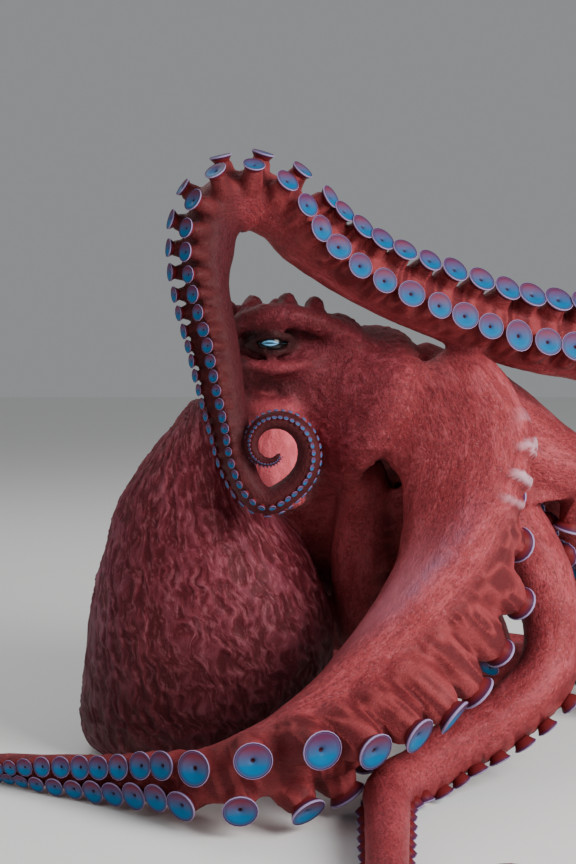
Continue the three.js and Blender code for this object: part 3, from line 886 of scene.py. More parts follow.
class Arm:
    """One arm: its flesh, and its suckers with their stalks."""

    STEP = 6.0
    COLUMNS = 30

    def __init__(self, number: int, plan: ArmPlan) -> None:
        """Measures the arm and places its suckers.

        Args:
            number: Its place in the order of the arms.
            plan: Its plan.
        """
        self.number, self.plan, self.curve = number, plan, ArmCurve(plan)
        self.cups = CupRows(self)

    def build(self, body: SourceBody) -> None:
        """Adds the arm's flesh and the stalks of its larger suckers to the body.

        Args:
            body: The flesh so far.
        """
        rows = int(self.curve.length / self.STEP)
        stations = self.curve.at(np.linspace(0, self.curve.length, rows + 1))

        def place(u: Array, v: Array) -> Array:
            """The arm's surface for shares round it and along it."""
            k = np.rint(v * rows).astype(int)
            angle = u * 2 * math.pi
            up, side = np.cos(angle), np.sin(angle)
            square = 1.0 + 0.75 * stations.strap[k]
            swelling = (np.abs(up) ** (2 * square) + np.abs(side) ** (2 * square)) ** (-0.5 / square)
            waist = 1.0 - 0.22 * stations.strap[k] * smooth_ramp(-up * swelling, 0.1, 0.9)
            close = np.where((k == 0) | (k == rows), 0.0, 1.0)
            deep = np.where(up > 0, stations.high[k], stations.depth[k]) * up * close * swelling
            across = stations.wide[k] * side * close * swelling * waist
            return stations.centre[k] - stations.oral[k] * deep[:, None] + stations.lateral[k] * across[:, None]

        body.add(Flesh.ARM + self.number, self.COLUMNS, rows, place)
        for cup in self.cups.cups:
            if cup.diameter >= 9.0 and self.plan.suckers:
                self._stalk(body, cup)

    def _stalk(self, body: SourceBody, cup: "Cup") -> None:
        """Adds the pillar of flesh that carries one sucker.

        Args:
            body: The flesh so far.
            cup: The sucker.
        """
        ahead = cup.axis
        side = unit(cup.run - np.dot(cup.run, ahead) * ahead)
        over = np.cross(side, ahead)
        tall = float(np.linalg.norm(cup.seat - cup.foot)) - 0.2 * cup.diameter

        def place(u: Array, v: Array) -> Array:
            """The pillar's surface for shares round it and along it."""
            close = np.where((v < 1e-6) | (v > 1 - 1e-6), 0.0, 1.0) * cup.diameter
            share = np.clip(v * 1.25 - 0.125, 0, 1)
            along = close * mix(mix(0.5, 0.72, cup.lobed), 0.36, share ** mix(1.4, 5.0, cup.lobed))
            across = close * mix(mix(0.46, 0.6, cup.lobed), 0.36, share ** mix(1.4, 2.4, cup.lobed))
            angle = u * 2 * math.pi
            ring = side * (along * np.cos(angle))[:, None] + over * (across * np.sin(angle))[:, None]
            return cup.foot + ahead * (share * tall)[:, None] + ring

        body.add(Flesh.STALK + self.number, 14, 12, place)


# ------------------------------------------------------------------------------------------------ suckers


@dataclass
class Cup:
    """One sucker: where its stalk starts, where its cup sits, which way it faces, its arm's run and its size.

    lobed says from 0 to 1 how far its stalk grows together with its neighbours'.
    """

    foot: Array
    seat: Array
    axis: Array
    run: Array
    diameter: float
    lobed: float


class CupRows:
    """An arm's two alternating rows of suckers."""

    FIRST = 60.0
    FIRST_RESTING = 125.0
    FLOOR_SHARE = 0.44

    def __init__(self, arm: Arm) -> None:
        """Places every sucker of an arm.

        Args:
            arm: The arm.
        """
        self.arm = arm
        self.cups = list(self._raised() if arm.plan.suckers else self._resting())

    def _raised(self) -> Iterable[Cup]:
        """The suckers of an arm whose sucker side shows.

        Returns:
            The suckers, from the root to the tip.
        """
        curve, plan = self.arm.curve, self.arm.plan.suckers
        distance, side = self.FIRST, 1
        while distance < curve.length - 4:
            s = curve.at(distance)
            half, oral, lateral = float(s.half[0]), s.oral[0], s.lateral[0]
            full = float(smooth_ramp(half, 14, 28))
            growth = 0.5 + 0.5 * float(smooth_ramp(distance, 40, 260))
            diameter = min(2 * half * mix(plan.thin, plan.share, full) * growth, plan.most)
            axis = unit(oral + float(curve.table(plan.splay, distance)) * side * lateral)
            foot = s.centre[0] + lateral * (side * plan.row * 0.85 * s.spread[0]) + oral * (0.3 * half)
            keel = float(curve.table(self.arm.plan.keel, distance))
            stalked = float(smooth_ramp(diameter, 6, 15))
            reach = mix(0.3 * half + 0.2 * diameter, 0.5 * half + plan.lift * diameter + keel, stalked)
            seat = self._off_floor(foot + axis * reach, axis, diameter)
            yield Cup(foot, seat, axis, s.tangent[0], diameter, float(np.clip(keel / 40.0, 0, 1)))
            distance += diameter * plan.pitch / 2
            side = -side

    @staticmethod
    def _off_floor(seat: Array, axis: Array, diameter: float) -> Array:
        """A cup's seat, raised where the cup would reach into the floor.

        Args:
            seat: Where the cup would sit.
            axis: The way it faces.
            diameter: Its size.

        Returns:
            Where it sits.
        """
        low = seat[2] - 0.53 * diameter * math.sqrt(max(0.0, 1 - axis[2] ** 2)) - 0.12 * diameter * abs(axis[2])
        return seat + np.array([0.0, 0.0, max(0.0, 0.3 - low)])

    def _resting(self) -> Iterable[Cup]:
        """The suckers of an arm that lies on the floor, set along its lower edges.

        Returns:
            The suckers, from the root to the tip.
        """
        curve = self.arm.curve
        distance, side = self.FIRST_RESTING, 1
        while distance < curve.length - 6:
            s = curve.at(distance)
            half, oral, lateral = float(s.half[0]), s.oral[0], s.lateral[0]
            growth = 0.5 + 0.5 * float(smooth_ramp(distance, 40, 260))
            diameter = 2 * half * self.FLOOR_SHARE * growth
            axis = unit(oral + 0.45 * side * lateral)
            foot = s.centre[0] + lateral * (side * 0.62 * half) + oral * (0.35 * half)
            seat = self._off_floor(foot + axis * (0.66 * half), axis, diameter)
            yield Cup(foot, seat, axis, s.tangent[0], diameter, 0.0)
            distance += diameter * 1.12 / 2
            side = -side


class CupDetail(Enum):
    """How finely a sucker is made: segments round it and rings (radius, height) from its neck to its middle."""

    LARGE = (
        20,
        (
            (0.30, -0.34),
            (0.37, -0.20),
            (0.46, -0.07),
            (0.495, -0.015),
            (0.5, 0.015),
            (0.48, 0.03),
            (0.45, 0.012),
            (0.41, 0.022),
            (0.3, 0.005),
            (0.16, -0.03),
            (0.075, -0.05),
            (0.05, -0.10),
            (0.0, -0.12),
        ),
    )
    MIDDLE = (10, ((0.30, -0.34), (0.41, -0.12), (0.5, 0.0), (0.46, 0.03), (0.24, 0.0), (0.07, -0.05), (0.0, -0.1)))
    SMALL = (8, ((0.32, -0.5), (0.5, 0.0), (0.44, 0.03), (0.1, -0.04), (0.0, -0.08)))


class CupMesh:
    """The joined mesh of an arm's suckers."""

    def __init__(self) -> None:
        """Makes one pattern for each detail."""
        self.patterns = {detail: self._pattern(detail) for detail in CupDetail}

    @staticmethod
    def _pattern(detail: CupDetail) -> bpy.types.Mesh:
        """A sucker of diameter one that faces +Z, marked with its share from the middle (0) over the rim (1).

        Args:
            detail: How finely it is made.

        Returns:
            The mesh.
        """
        segments, profile = detail.value
        bm = bmesh.new()
        verts = [bm.verts.new((r, 0.0, z)) for r, z in profile]
        edges = [bm.edges.new(pair) for pair in zip(verts, verts[1:])]
        bmesh.ops.spin(
            bm, geom=verts + edges, cent=(0, 0, 0), axis=(0, 0, 1), angle=2 * math.pi, steps=segments, use_merge=True
        )
        bmesh.ops.remove_doubles(bm, verts=bm.verts, dist=1e-5)
        bmesh.ops.edgeloop_fill(bm, edges=[e for e in bm.edges if e.is_boundary])
        bmesh.ops.recalc_face_normals(bm, faces=bm.faces)
        mesh = bpy.data.meshes.new(f"sucker_{detail.name.lower()}")
        bm.to_mesh(mesh)
        bm.free()
        at = places_of(mesh)
        out = np.hypot(at[:, 0], at[:, 1]) * 2.0
        inner = at[:, 2] > np.interp(out, [0.0, 0.99, 1.0], [-0.14, -0.02, -0.001])
        set_attribute(mesh, "radial", np.where(inner, out, 2.0 - out))
        return mesh

    def build(self, name: str, cups: Sequence[Cup], detail_of: Callable[[Cup], CupDetail]) -> bpy.types.Object:
        """Joins many suckers into one mesh.

        Args:
            name: The piece's name.
            cups: The suckers.
            detail_of: Picks the detail of each.

        Returns:
            The object, in the animal's own frame in millimetres.
        """
        random = np.random.default_rng(len(cups))
        bm = bmesh.new()
        lower, shade = [], []
        for cup in cups:
            pattern = self.patterns[detail_of(cup)]
            first = len(bm.verts)
            bm.from_mesh(pattern)
            bm.verts.ensure_lookup_table()
            side = unit(np.cross(np.array([0.0, 0.0, 1.0]) + 1e-3, cup.axis))
            axes = np.array([side, np.cross(cup.axis, side), cup.axis])
            wobble = 1.0 + 0.05 * random.standard_normal(3) * np.array([1.0, 1.0, 0.4])
            size = Matrix.Diagonal((*(wobble * cup.diameter).tolist(), 1.0))
            place = Matrix.Translation(Vector(cup.seat.tolist())) @ Matrix(axes.T.tolist()).to_4x4()
            bmesh.ops.transform(bm, matrix=place @ size, verts=bm.verts[first:])
            # How low each vertex lies in the world, for the painted light on the lower half of each dish.
            lower.append(-(places_of(pattern) @ axes)[:, 2] * 2.0)
            shade.append(np.full(len(pattern.vertices), random.random()))
        mesh = bpy.data.meshes.new(name)
        bm.to_mesh(mesh)
        bm.free()
        set_attribute(mesh, "lower", np.concatenate(lower))
        set_attribute(mesh, "shade", np.concatenate(shade))
        mesh.shade_smooth()
        return object_of(name, mesh)


# ------------------------------------------------------------------------------------------------ webs


@dataclass
class Web:
    """The sheet of skin between two neighbouring arms."""

    first: Arm
    second: Arm
    reach: float
    start: float = 50.0
    scallop: float = 0.35
    anchor: float = 0.62
    thick: float = 8.0
    thin: float = 6.5
    bulge: float = 0.0

    def build(self, body: SourceBody) -> None:
        """Adds the sheet, from the facing edge of one arm to that of the other.

        Args:
            body: The flesh so far.
        """
        across, along = 24, 26

        def place(u: Array, v: Array) -> Array:
            """The sheet's surface for shares across both its faces and down it."""
            over = u < 0.5
            share = np.where(over, u * 2, 2 - u * 2)
            down = np.clip(v * 1.06 - 0.03, 0, 1)
            distance = self.start + (self.reach - self.start) * down * (1 - self.scallop * np.sin(math.pi * share))
            a, b = self.first.curve.at(distance), self.second.curve.at(distance)
            left = a.centre - a.lateral * (self.anchor * a.wide)[:, None]
            right = b.centre + b.lateral * (self.anchor * b.wide)[:, None]
            point = left + (right - left) * share[:, None]
            oral = unit(a.oral + (b.oral - a.oral) * share[:, None])
            swell = self.bulge * bump(down, 0.33, 0.42)
            sag = np.sin(math.pi * share) * (14.0 * down - swell)
            gap = np.maximum(np.linalg.norm(right - left, axis=1), 20.0)
            steep = 4.0 * self.bulge / (self.reach - self.start)
            slope = np.hypot(math.pi * swell * np.cos(math.pi * share) / gap, steep)
            half = 0.5 * mix(self.thick, self.thin, down) * np.hypot(1.0, slope)
            half = half * np.where((v < 1e-6) | (v > 1 - 1e-6), 0.0, 1.0)
            side = np.where(over, -1.0, 1.0) * np.where((share < 1e-6) | (share > 1 - 1e-6), 0.0, 1.0)
            return point + oral * (sag + side * half)[:, None]

        body.add(Flesh.WEB, across * 2, along, place)


# ------------------------------------------------------------------------------------------------ the skin


# Soft upright ovals beside an eye: the middle's place along X and up from it, half the width, half the height.
# The socket and the hollow carry painted shade, the fold and the pouch painted light.
SOCKET_OVAL = (0.0, 1.0, 38.0, 17.0)
HOLLOW_OVAL = (4.0, -47.0, 36.0, 13.0)
FOLD_OVAL = (6.0, -23.0, 42.0, 7.0)
POUCH_OVAL = (2.0, -70.0, 38.0, 14.0)


def oval(away: Array, ahead: float, above: float, half_width: float, half_height: float) -> Array:
    """How far points lie from an upright oval's middle, with 1 on its edge.

    Args:
        away: The points, measured from the eye.
        ahead: The middle's place along X.
        above: The middle's height over the eye.
        half_width: Half the oval's width.
        half_height: Half its height.

    Returns:
        One share for each point.
    """
    return np.hypot((away[:, 0] - ahead) / half_width, (away[:, 2] - above) / half_height)


class Skin:
    """One unbroken skin over mantle, head, funnel, webs and arms."""

    VOXEL = 2.7
    QUICK_VOXEL = 4.2
    MOST_TRIANGLES = 196000
    SMALLEST_ISLAND = 1000

    def __init__(self, arms: Sequence[Arm]) -> None:
        """Keeps the arms whose flesh it covers.

        Args:
            arms: All eight arms.
        """
        self.arms = arms
        self.body = SourceBody()

    def build(self) -> bpy.types.Object:
        """Draws the skin over the body's forms and works its relief.

        Returns:
            The skin, in the animal's own frame in millimetres.
        """
        Mantle().build(self.body)
        Head().build(self.body)
        Funnel().build(self.body)
        for arm in self.arms:
            arm.build(self.body)
        for k, arm in enumerate(self.arms):
            Web(arm, self.arms[(k + 1) % len(self.arms)], WEB_REACH[k], bulge=WEB_BULGE[k]).build(self.body)
        skin = self._wrapped()
        LOG.info("skin wrapped: %d vertices", len(skin.data.vertices))
        mark = self._marked(skin.data)
        self._blend_joints(skin, mark)
        self._relief(skin, mark)
        self._thinned(skin, mark)
        self._without_crumbs(skin)
        LOG.info("skin done: %d triangles", sum(len(p.vertices) - 2 for p in skin.data.polygons))
        return skin

    def _wrapped(self) -> bpy.types.Object:
        """The forms' common outer surface as one even mesh.

        Returns:
            The object.
        """
        mesh = bpy.data.meshes.new("skin")
        self.body.bm.to_mesh(mesh)
        skin = object_of("skin", mesh)
        wrap = skin.modifiers.new("wrap", "REMESH")
        wrap.mode = "VOXEL"
        wrap.voxel_size = self.VOXEL
        wrap.adaptivity = 0.0
        apply_modifiers(skin)
        return skin

    def _marked(self, mesh: bpy.types.Mesh) -> Array:
        """What each vertex belongs to.

        Args:
            mesh: The skin.

        Returns:
            One mark for each vertex.
        """
        tree = BVHTree.FromBMesh(self.body.bm)
        layer = self.body.bm.faces.layers.int["mark"]
        self.body.bm.faces.ensure_lookup_table()
        marks = [face[layer] for face in self.body.bm.faces]
        return np.array([marks[tree.find_nearest(vert.co)[2]] for vert in mesh.vertices])

    @staticmethod
    def _blend_joints(skin: bpy.types.Object, mark: Array) -> None:
        """Rounds the valleys where two forms meet, so that no joint shows.

        Args:
            skin: The skin.
            mark: What each vertex belongs to.
        """
        mesh = skin.data
        pairs = edges_of(mesh)
        family = np.where(mark >= Flesh.STALK, Flesh.STALK, np.where(mark >= Flesh.ARM, Flesh.ARM, mark))
        strength = {Flesh.STALK: 0.45, Flesh.LID: 0.35, Flesh.HORN: 0.3}
        weight = np.zeros(len(mark))
        seam = mark[pairs[:, 0]] != mark[pairs[:, 1]]
        level = np.ones(seam.sum())
        for kind, value in strength.items():
            hit = (family[pairs[seam, 0]] == kind) | (family[pairs[seam, 1]] == kind)
            level[hit] = np.minimum(level[hit], value)
        for column in (0, 1):
            np.maximum.at(weight, pairs[seam, column], level)
        for _ in range(12):
            spread = weight.copy()
            np.maximum.at(spread, pairs[:, 0], weight[pairs[:, 1]] * 0.93 - 0.02)
            np.maximum.at(spread, pairs[:, 1], weight[pairs[:, 0]] * 0.93 - 0.02)
            weight = spread
        weight = np.where(family == Flesh.HORN, 0.08, np.clip(weight, 0.06, 1))
        crown = np.linalg.norm(places_of(mesh) - head_point(100.0, 0.0, 0.0), axis=1)
        broad = (1.0 - smooth_ramp(crown, 100.0, 185.0)) * (family != Flesh.LID) * (family != Flesh.HORN)
        Skin._smoothed(skin, weight, 22)
        Skin._smoothed(skin, broad, 160)

    @staticmethod
    def _smoothed(skin: bpy.types.Object, weight: Array, rounds: int) -> None:
        """Smooths a mesh by a weight for each vertex.

        Args:
            skin: The mesh's object.
            weight: One weight from 0 to 1 for each vertex.
            rounds: How often it is smoothed.
        """
        group = skin.vertex_groups.new(name="weight")
        steps = np.round(weight, 2)
        for level in np.unique(steps[steps > 0]):
            group.add(np.flatnonzero(steps == level).tolist(), float(level), "REPLACE")
        smooth = skin.modifiers.new("smooth", "SMOOTH")
        smooth.factor = 0.5
        smooth.iterations = rounds
        smooth.vertex_group = "weight"
        apply_modifiers(skin)
        skin.vertex_groups.clear()

    @staticmethod
    def _shares(mesh: bpy.types.Mesh, kinds: Array) -> dict[int, Array]:
        """How far each vertex belongs to each kind of flesh, blended over the joints.

        Args:
            mesh: The skin.
            kinds: Each vertex's kind.

        Returns:
            One share for each vertex, by kind.
        """
        pairs, total = edges_of(mesh), len(kinds)
        ends = np.maximum(np.bincount(pairs.ravel(), minlength=total), 1)
        shares = {}
        for kind in np.unique(kinds).tolist():
            share = (kinds == kind).astype(float)
            for _ in range(BLEND_ROUNDS):
                beside = np.bincount(pairs[:, 0], share[pairs[:, 1]], total)
                beside += np.bincount(pairs[:, 1], share[pairs[:, 0]], total)
                share = 0.4 * share + 0.6 * beside / ends
            shares[kind] = share
        return shares

    def _relief(self, skin: bpy.types.Object, mark: Array) -> None:
        """Raises ridges, warts and folds, trims the flats on the floor, and marks the skin's zones.

        Args:
            skin: The skin.
            mark: What each vertex belongs to.
        """
        mesh = skin.data
        at, out = places_of(mesh), normals_of(mesh)
        kinds = np.where(mark >= Flesh.STALK, mark - Flesh.STALK + Flesh.ARM, mark)
        kinds = np.where(np.isin(kinds, (Flesh.LID, Flesh.HORN)), Flesh.HEAD, kinds)
        names = ("ridge", "oral", "pale", "sac", "violet", "dark", "painted_light", "frill_and_highlight", "vein")
        zones = {name: np.zeros(len(at)) for name in names}
        height, strongest = np.zeros(len(at)), np.zeros(len(at))
        flow = at.copy()
        for kind, share in self._shares(mesh, kinds).items():
            own = share > 0.01
            part, here = share[own], at[own]
            run = here
            if kind >= Flesh.ARM:
                raised, marks, run = self._arm_relief(self.arms[kind - Flesh.ARM], here)
            elif kind == Flesh.MANTLE:
                raised, marks, run = self._mantle_relief(here)
            elif kind == Flesh.HEAD:
                raised, marks = self._head_relief(here)
            elif kind == Flesh.FUNNEL:
                raised, marks = self._funnel_relief(here)
            else:
                folds = creases(here / np.array([14.0, 14.0, 7.0]), 31)
                raised, marks = 0.7 * folds, {"ridge": 0.3 + 0.3 * folds, "oral": np.full(len(here), 0.2)}
            height[own] += part * raised
            flow[own] = np.where((part > strongest[own])[:, None], run, flow[own])
            strongest[own] = np.maximum(strongest[own], part)
            for name, values in marks.items():
                zones[name][own] += part * values
        height += 0.7 * cloudy(at / 34.0, 7)
        at = at + out * height[:, None]
        at[:, 2] = np.maximum(at[:, 2], 0.0)
        set_places(mesh, at)
        zones["cloud"] = 0.5 + 0.5 * cloudy(at / 42.0, 3)
        zones["grain"] = smooth_ramp(strongest, 0.6, 0.95)
        for name, values in zones.items():
            set_attribute(mesh, name, values)
        layer = mesh.attributes.new("flow", "FLOAT_VECTOR", "POINT")
        layer.data.foreach_set("vector", flow.astype(np.float32).ravel())

    @staticmethod
    def _mantle_relief(at: Array) -> tuple[Array, dict[str, Array], Array]:
        """The sac's short wavy ridges, which run from its top to its foot.

        Args:
            at: Places on the sac.

        Returns:
            The height, the zones and the ridges' coordinates.
        """
        angle = np.arctan2(at[:, 1] - 118.0, at[:, 0] + 100.0)
        flat = np.column_stack([np.cos(angle) * 118.0, np.sin(angle) * 118.0, at[:, 2]])
        warp = cloudy(flat / 24.0, 11, 2)
        turned = angle + (7.0 * warp + 3.5 * cloudy(flat / 11.0, 14, 1) + 0.25 * at[:, 2]) / 118.0
        run = np.column_stack([np.cos(turned) * 118.0, np.sin(turned) * 118.0, at[:, 2] + 9.0 * warp])
        sheet = run / np.array([8.0, 8.0, 19.0])
        worm = 0.75 * creases(sheet, 5) + 0.25 * creases(sheet * np.array([1.7, 1.7, 2.1]), 6)
        strength = 0.8 + 0.4 * cloudy(flat / 40.0, 17, 1)
        marks = {
            "ridge": worm,
            "sac": np.ones(len(at)),
            "vein": np.full(len(at), 0.6),
            # The ridges on the sac's left edge are painted violet: painted bluish light.
            "violet": 0.5 * worm * smooth_ramp(-at[:, 0], 165.0, 240.0),
            # The sac is painted darker towards its foot: painted shade.
            "dark": 0.6 * (1.0 - smooth_ramp(at[:, 2], 60.0, 250.0)),
        }
        return 3.6 * worm * strength - 1.6, marks, run * np.array([0.5, 0.5, 0.22])

    @staticmethod
    def _head_relief(at: Array) -> tuple[Array, dict[str, Array]]:
        """The head's small soft warts, painted shade round its eyes and painted light on the folds below them.

        Args:
            at: Places on the head.

        Returns:
            The height and the zones.
        """
        warts = np.clip(cloudy(at / 5.5, 21, 2) * 1.4 + 0.2, 0.0, 1.0)
        dark, pale = np.zeros(len(at)), np.zeros(len(at))
        for eye in (EYE_CENTRE, mirrored(EYE_CENTRE)):
            away = at - eye
            socket, hollow = oval(away, *SOCKET_OVAL), oval(away, *HOLLOW_OVAL)
            near = 1.0 - smooth_ramp(np.linalg.norm(away, axis=1), 60.0, 85.0)
            brow = 0.3 * (1.0 - smooth_ramp(np.linalg.norm(away, axis=1), 45.0, 110.0))
            hollow = 0.65 * (1.0 - smooth_ramp(hollow, 0.4, 1.3))
            # Painted shade: the socket, the hollow under the fold and the brow round each eye are painted dark.
            dark += np.maximum(near * np.maximum(1.0 - smooth_ramp(socket, 0.6, 1.2), hollow), brow)
            fold, pouch = oval(away, *FOLD_OVAL), oval(away, *POUCH_OVAL)
            close = 1.0 - smooth_ramp(np.linalg.norm(away, axis=1), 75.0, 100.0)
            on_fold, on_pouch = 1.0 - smooth_ramp(fold, 0.4, 1.2), 1.0 - smooth_ramp(pouch, 0.4, 1.2)
            # Painted light: the fold under each eye and the pouch below it are painted pale.
            pale += close * np.maximum(0.22 * on_fold, 0.38 * on_pouch)
        back = smooth_ramp((at - HEAD_CENTRE) @ MOUTH_AXIS, 60.0, 110.0)
        marks = {
            "ridge": 0.2 + 0.5 * warts,
            "dark": np.clip(dark, 0.0, 1.0) * (1.0 - 1.6 * pale),
            "sac": 0.85 * (1.0 - back),
            "pale": pale,
        }
        return 1.5 * warts - 0.4, marks

    @staticmethod
    def _funnel_relief(at: Array) -> tuple[Array, dict[str, Array]]:
        """The funnel's fine long folds, with warts towards its rim.

        Args:
            at: Places on the funnel.

        Returns:
            The height and the zones.
        """
        folds = creases(at / np.array([5.5, 5.5, 26.0]), 61)
        rim = 1.0 - smooth_ramp(at[:, 2], 302.0, 332.0)
        warts = np.clip(cloudy(at / 4.5, 65, 2) * 1.6, 0.0, 1.0) * rim
        # A band along the middle of the tube is painted pale: painted light.
        pale = smooth_ramp(at[:, 2], 314.0, 346.0) * (1.0 - 0.85 * smooth_ramp(at[:, 2], 386.0, 414.0))
        return 1.4 * folds + 1.8 * warts - 0.6, {"ridge": np.maximum(folds, warts), "pale": pale}

    @classmethod
    def _arm_relief(cls, arm: Arm, at: Array) -> tuple[Array, dict[str, Array], Array]:
        """An arm's fine long wrinkles, its frilled margin and its zones.

        Args:
            arm: The arm.
            at: Places on or near it.

        Returns:
            The height, the zones and the wrinkles' coordinates.
        """
        along, up, side, girth, section = cls._arm_place(arm, at)
        sucker_side = smooth_ramp(-up, -0.2, 0.5)
        run = np.column_stack([along * 0.55, section])
        fine = np.clip(girth / 30.0, 0.0, 1.0)
        folds = creases(np.column_stack([along / 34.0, section / 8.0]), 41 + arm.number)
        folds = 0.6 * folds + 0.4 * creases(np.column_stack([along / 15.0, section / 5.0]), 51 + arm.number)
        raised = (0.7 * folds - 0.3) * fine
        pleats = creases(np.column_stack([along / 7.0, section / 42.0]), 81 + arm.number) * sucker_side * fine
        raised += 1.3 * pleats
        strap = arm.curve.at(along).strap
        margin = smooth_ramp(side, 0.74, 0.98) * bump(along, 120.0, 50.0) * strap
        frill_and_highlight = np.sin(along / 3.2 + 1.2 * cloudy(at / 20.0, 71, 1))
        raised += 5.5 * margin * frill_and_highlight
        streak = bump(side, 0.62, 0.36) * bump(along, 250.0, 120.0) * strap * (1.0 - sucker_side)
        zones = {
            "ridge": mix(0.18 + 0.5 * folds, pleats, sucker_side) * fine,
            "oral": sucker_side * (1.0 - 0.8 * margin),
            # Painted highlight: the crests of the frill are painted whitish.
            "frill_and_highlight": margin * smooth_ramp(side, 0.82, 1.0) * smooth_ramp(frill_and_highlight, 0.35, 0.85),
            "violet": streak * (0.45 + 0.55 * cloudy(at / 7.0, 77, 2)),
            # Painted light: a paler pink where the light falls most on the strap.
            "painted_light": bump(along, 300.0, 130.0) * bump(side, 0.1, 0.9) * strap * (1.0 - sucker_side),
            # Past the plan's shade distance the arm gets the sac's tone and the dark colour: painted shade.
            "sac": smooth_ramp(along - arm.plan.painted_shade_from, 0.0, 110.0),
            "dark": 0.62 * smooth_ramp(along - arm.plan.painted_shade_from, 0.0, 110.0),
        }
        return raised, zones, run

    @staticmethod
    def _arm_place(arm: Arm, at: Array) -> tuple[Array, Array, Array, Array, Array]:
        """Where points lie on an arm.

        Args:
            arm: The arm.
            at: Places on or near it.

        Returns:
            The distance along it, the shares towards crest and side, half its size, and the place in its section.
        """
        step = 5.0
        stations = np.arange(0, arm.curve.length, step)
        s = arm.curve.at(stations)
        nearest = np.empty(len(at), int)
        for start in range(0, len(at), 4000):
            block = at[start : start + 4000]
            gap = ((block[:, None, :] - s.centre[None, :, :]) ** 2).sum(axis=2) - (s.half**2)[None, :]
            nearest[start : start + 4000] = gap.argmin(axis=1)
        offset = at - s.centre[nearest]
        along = stations[nearest] + np.clip(dot(offset, s.tangent[nearest]), -step, step)
        fine = arm.curve.at(along)
        offset = at - fine.centre
        section = np.column_stack([-dot(offset, fine.oral), dot(offset, fine.lateral)])
        return along, section[:, 0] / fine.half, section[:, 1] / fine.wide, fine.half, section

    def _thinned(self, skin: bpy.types.Object, mark: Array) -> None:
        """Takes out triangles, first of all where the skin is plain or hidden.

        Args:
            skin: The skin.
            mark: What each vertex belongs to.
        """
        mesh = skin.data
        total = sum(len(p.vertices) - 2 for p in mesh.polygons)
        if total <= self.MOST_TRIANGLES:
            return
        at = places_of(mesh)
        shown = (mark < Flesh.ARM) | np.isin(mark, [Flesh.ARM, Flesh.ARM + 1, Flesh.STALK, Flesh.STALK + 1])
        back = smooth_ramp(at[:, 1], 110.0, 190.0)
        hidden = (~shown) | (back > 0.5)
        group = skin.vertex_groups.new(name="hidden")
        group.add(np.flatnonzero(hidden).tolist(), 1.0, "REPLACE")
        kept_share = 0.16
        shown_share = 1.0 - hidden.mean()
        first = skin.modifiers.new("hidden", "DECIMATE")
        first.ratio = shown_share + kept_share * (1 - shown_share)
        first.vertex_group = "hidden"
        apply_modifiers(skin)
        skin.vertex_groups.clear()
        total = sum(len(p.vertices) - 2 for p in skin.data.polygons)
        LOG.info("after the hidden side: %d triangles", total)
        if total > self.MOST_TRIANGLES:
            second = skin.modifiers.new("rest", "DECIMATE")
            second.ratio = self.MOST_TRIANGLES / total
            apply_modifiers(skin)

    def _without_crumbs(self, skin: bpy.types.Object) -> None:
        """Takes away the few loose crumbs that wrapping and thinning leave beside the one large surface.

        Args:
            skin: The skin.
        """
        bm = bmesh.new()
        bm.from_mesh(skin.data)
        left, crumbs = set(bm.verts), []
        while left:
            island = [left.pop()]
            for vert in island:
                beside = {edge.other_vert(vert) for edge in vert.link_edges} & left
                left -= beside
                island.extend(beside)
            if len(island) < self.SMALLEST_ISLAND:
                crumbs.extend(island)
        bmesh.ops.delete(bm, geom=crumbs, context="VERTS")
        bm.to_mesh(skin.data)
        bm.free()
        LOG.info("crumbs taken away: %d vertices", len(crumbs))


# ------------------------------------------------------------------------------------------------ materials


def linear(hex_colour: str, alpha: float = 1.0) -> tuple[float, float, float, float]:
    """An sRGB hex colour as linear values.

    Args:
        hex_colour: Six hex digits after a hash.
        alpha: The fourth value.

    Returns:
        Red, green, blue and alpha.
    """
    parts = [int(hex_colour[k : k + 2], 16) / 255 for k in (1, 3, 5)]
    red, green, blue = (p / 12.92 if p <= 0.04045 else ((p + 0.055) / 1.055) ** 2.4 for p in parts)
    return (red, green, blue, alpha)


def add_node(tree: bpy.types.NodeTree, kind: str, inputs: dict | None = None, **settings: object) -> bpy.types.Node:
    """Adds a node with its settings and links.

    Args:
        tree: The material's tree.
        kind: The node's type name.
        inputs: Values or source sockets, by input name or number.
        settings: The node's own properties.

    Returns:
        The node.
    """
    made = tree.nodes.new(kind)
    for name, value in settings.items():
        setattr(made, name, value)
    for key, value in (inputs or {}).items():
        socket = made.inputs[key]
        if isinstance(value, bpy.types.NodeSocket):
            tree.links.new(value, socket)
        else:
            socket.default_value = value
    return made


def new_material(name: str) -> tuple[bpy.types.Material, bpy.types.NodeTree, bpy.types.Node]:
    """A material with its tree and its surface shader.

    Args:
        name: The material's name.

    Returns:
        The material, its tree and the shader.
    """
    made = bpy.data.materials.new(name)
    made.use_nodes = True
    tree = made.node_tree
    return made, tree, tree.nodes["Principled BSDF"]


def ramp(
    tree: bpy.types.NodeTree, factor: bpy.types.NodeSocket, stops: Sequence[tuple[float, str]]
) -> bpy.types.NodeSocket:
    """A colour ramp over hex colours.

    Args:
        tree: The material's tree.
        factor: What is looked up.
        stops: Position and colour of each stop.

    Returns:
        The colour.
    """
    node = add_node(tree, "ShaderNodeValToRGB", {"Fac": factor})
    while len(node.color_ramp.elements) < len(stops):
        node.color_ramp.elements.new(0.5)
    for element, (position, colour) in zip(node.color_ramp.elements, stops):
        element.position = position
        element.color = linear(colour)
    return node.outputs["Color"]


def attribute(tree: bpy.types.NodeTree, name: str) -> bpy.types.NodeSocket:
    """A vertex attribute's value."""
    return add_node(tree, "ShaderNodeAttribute", attribute_name=name).outputs["Fac"]


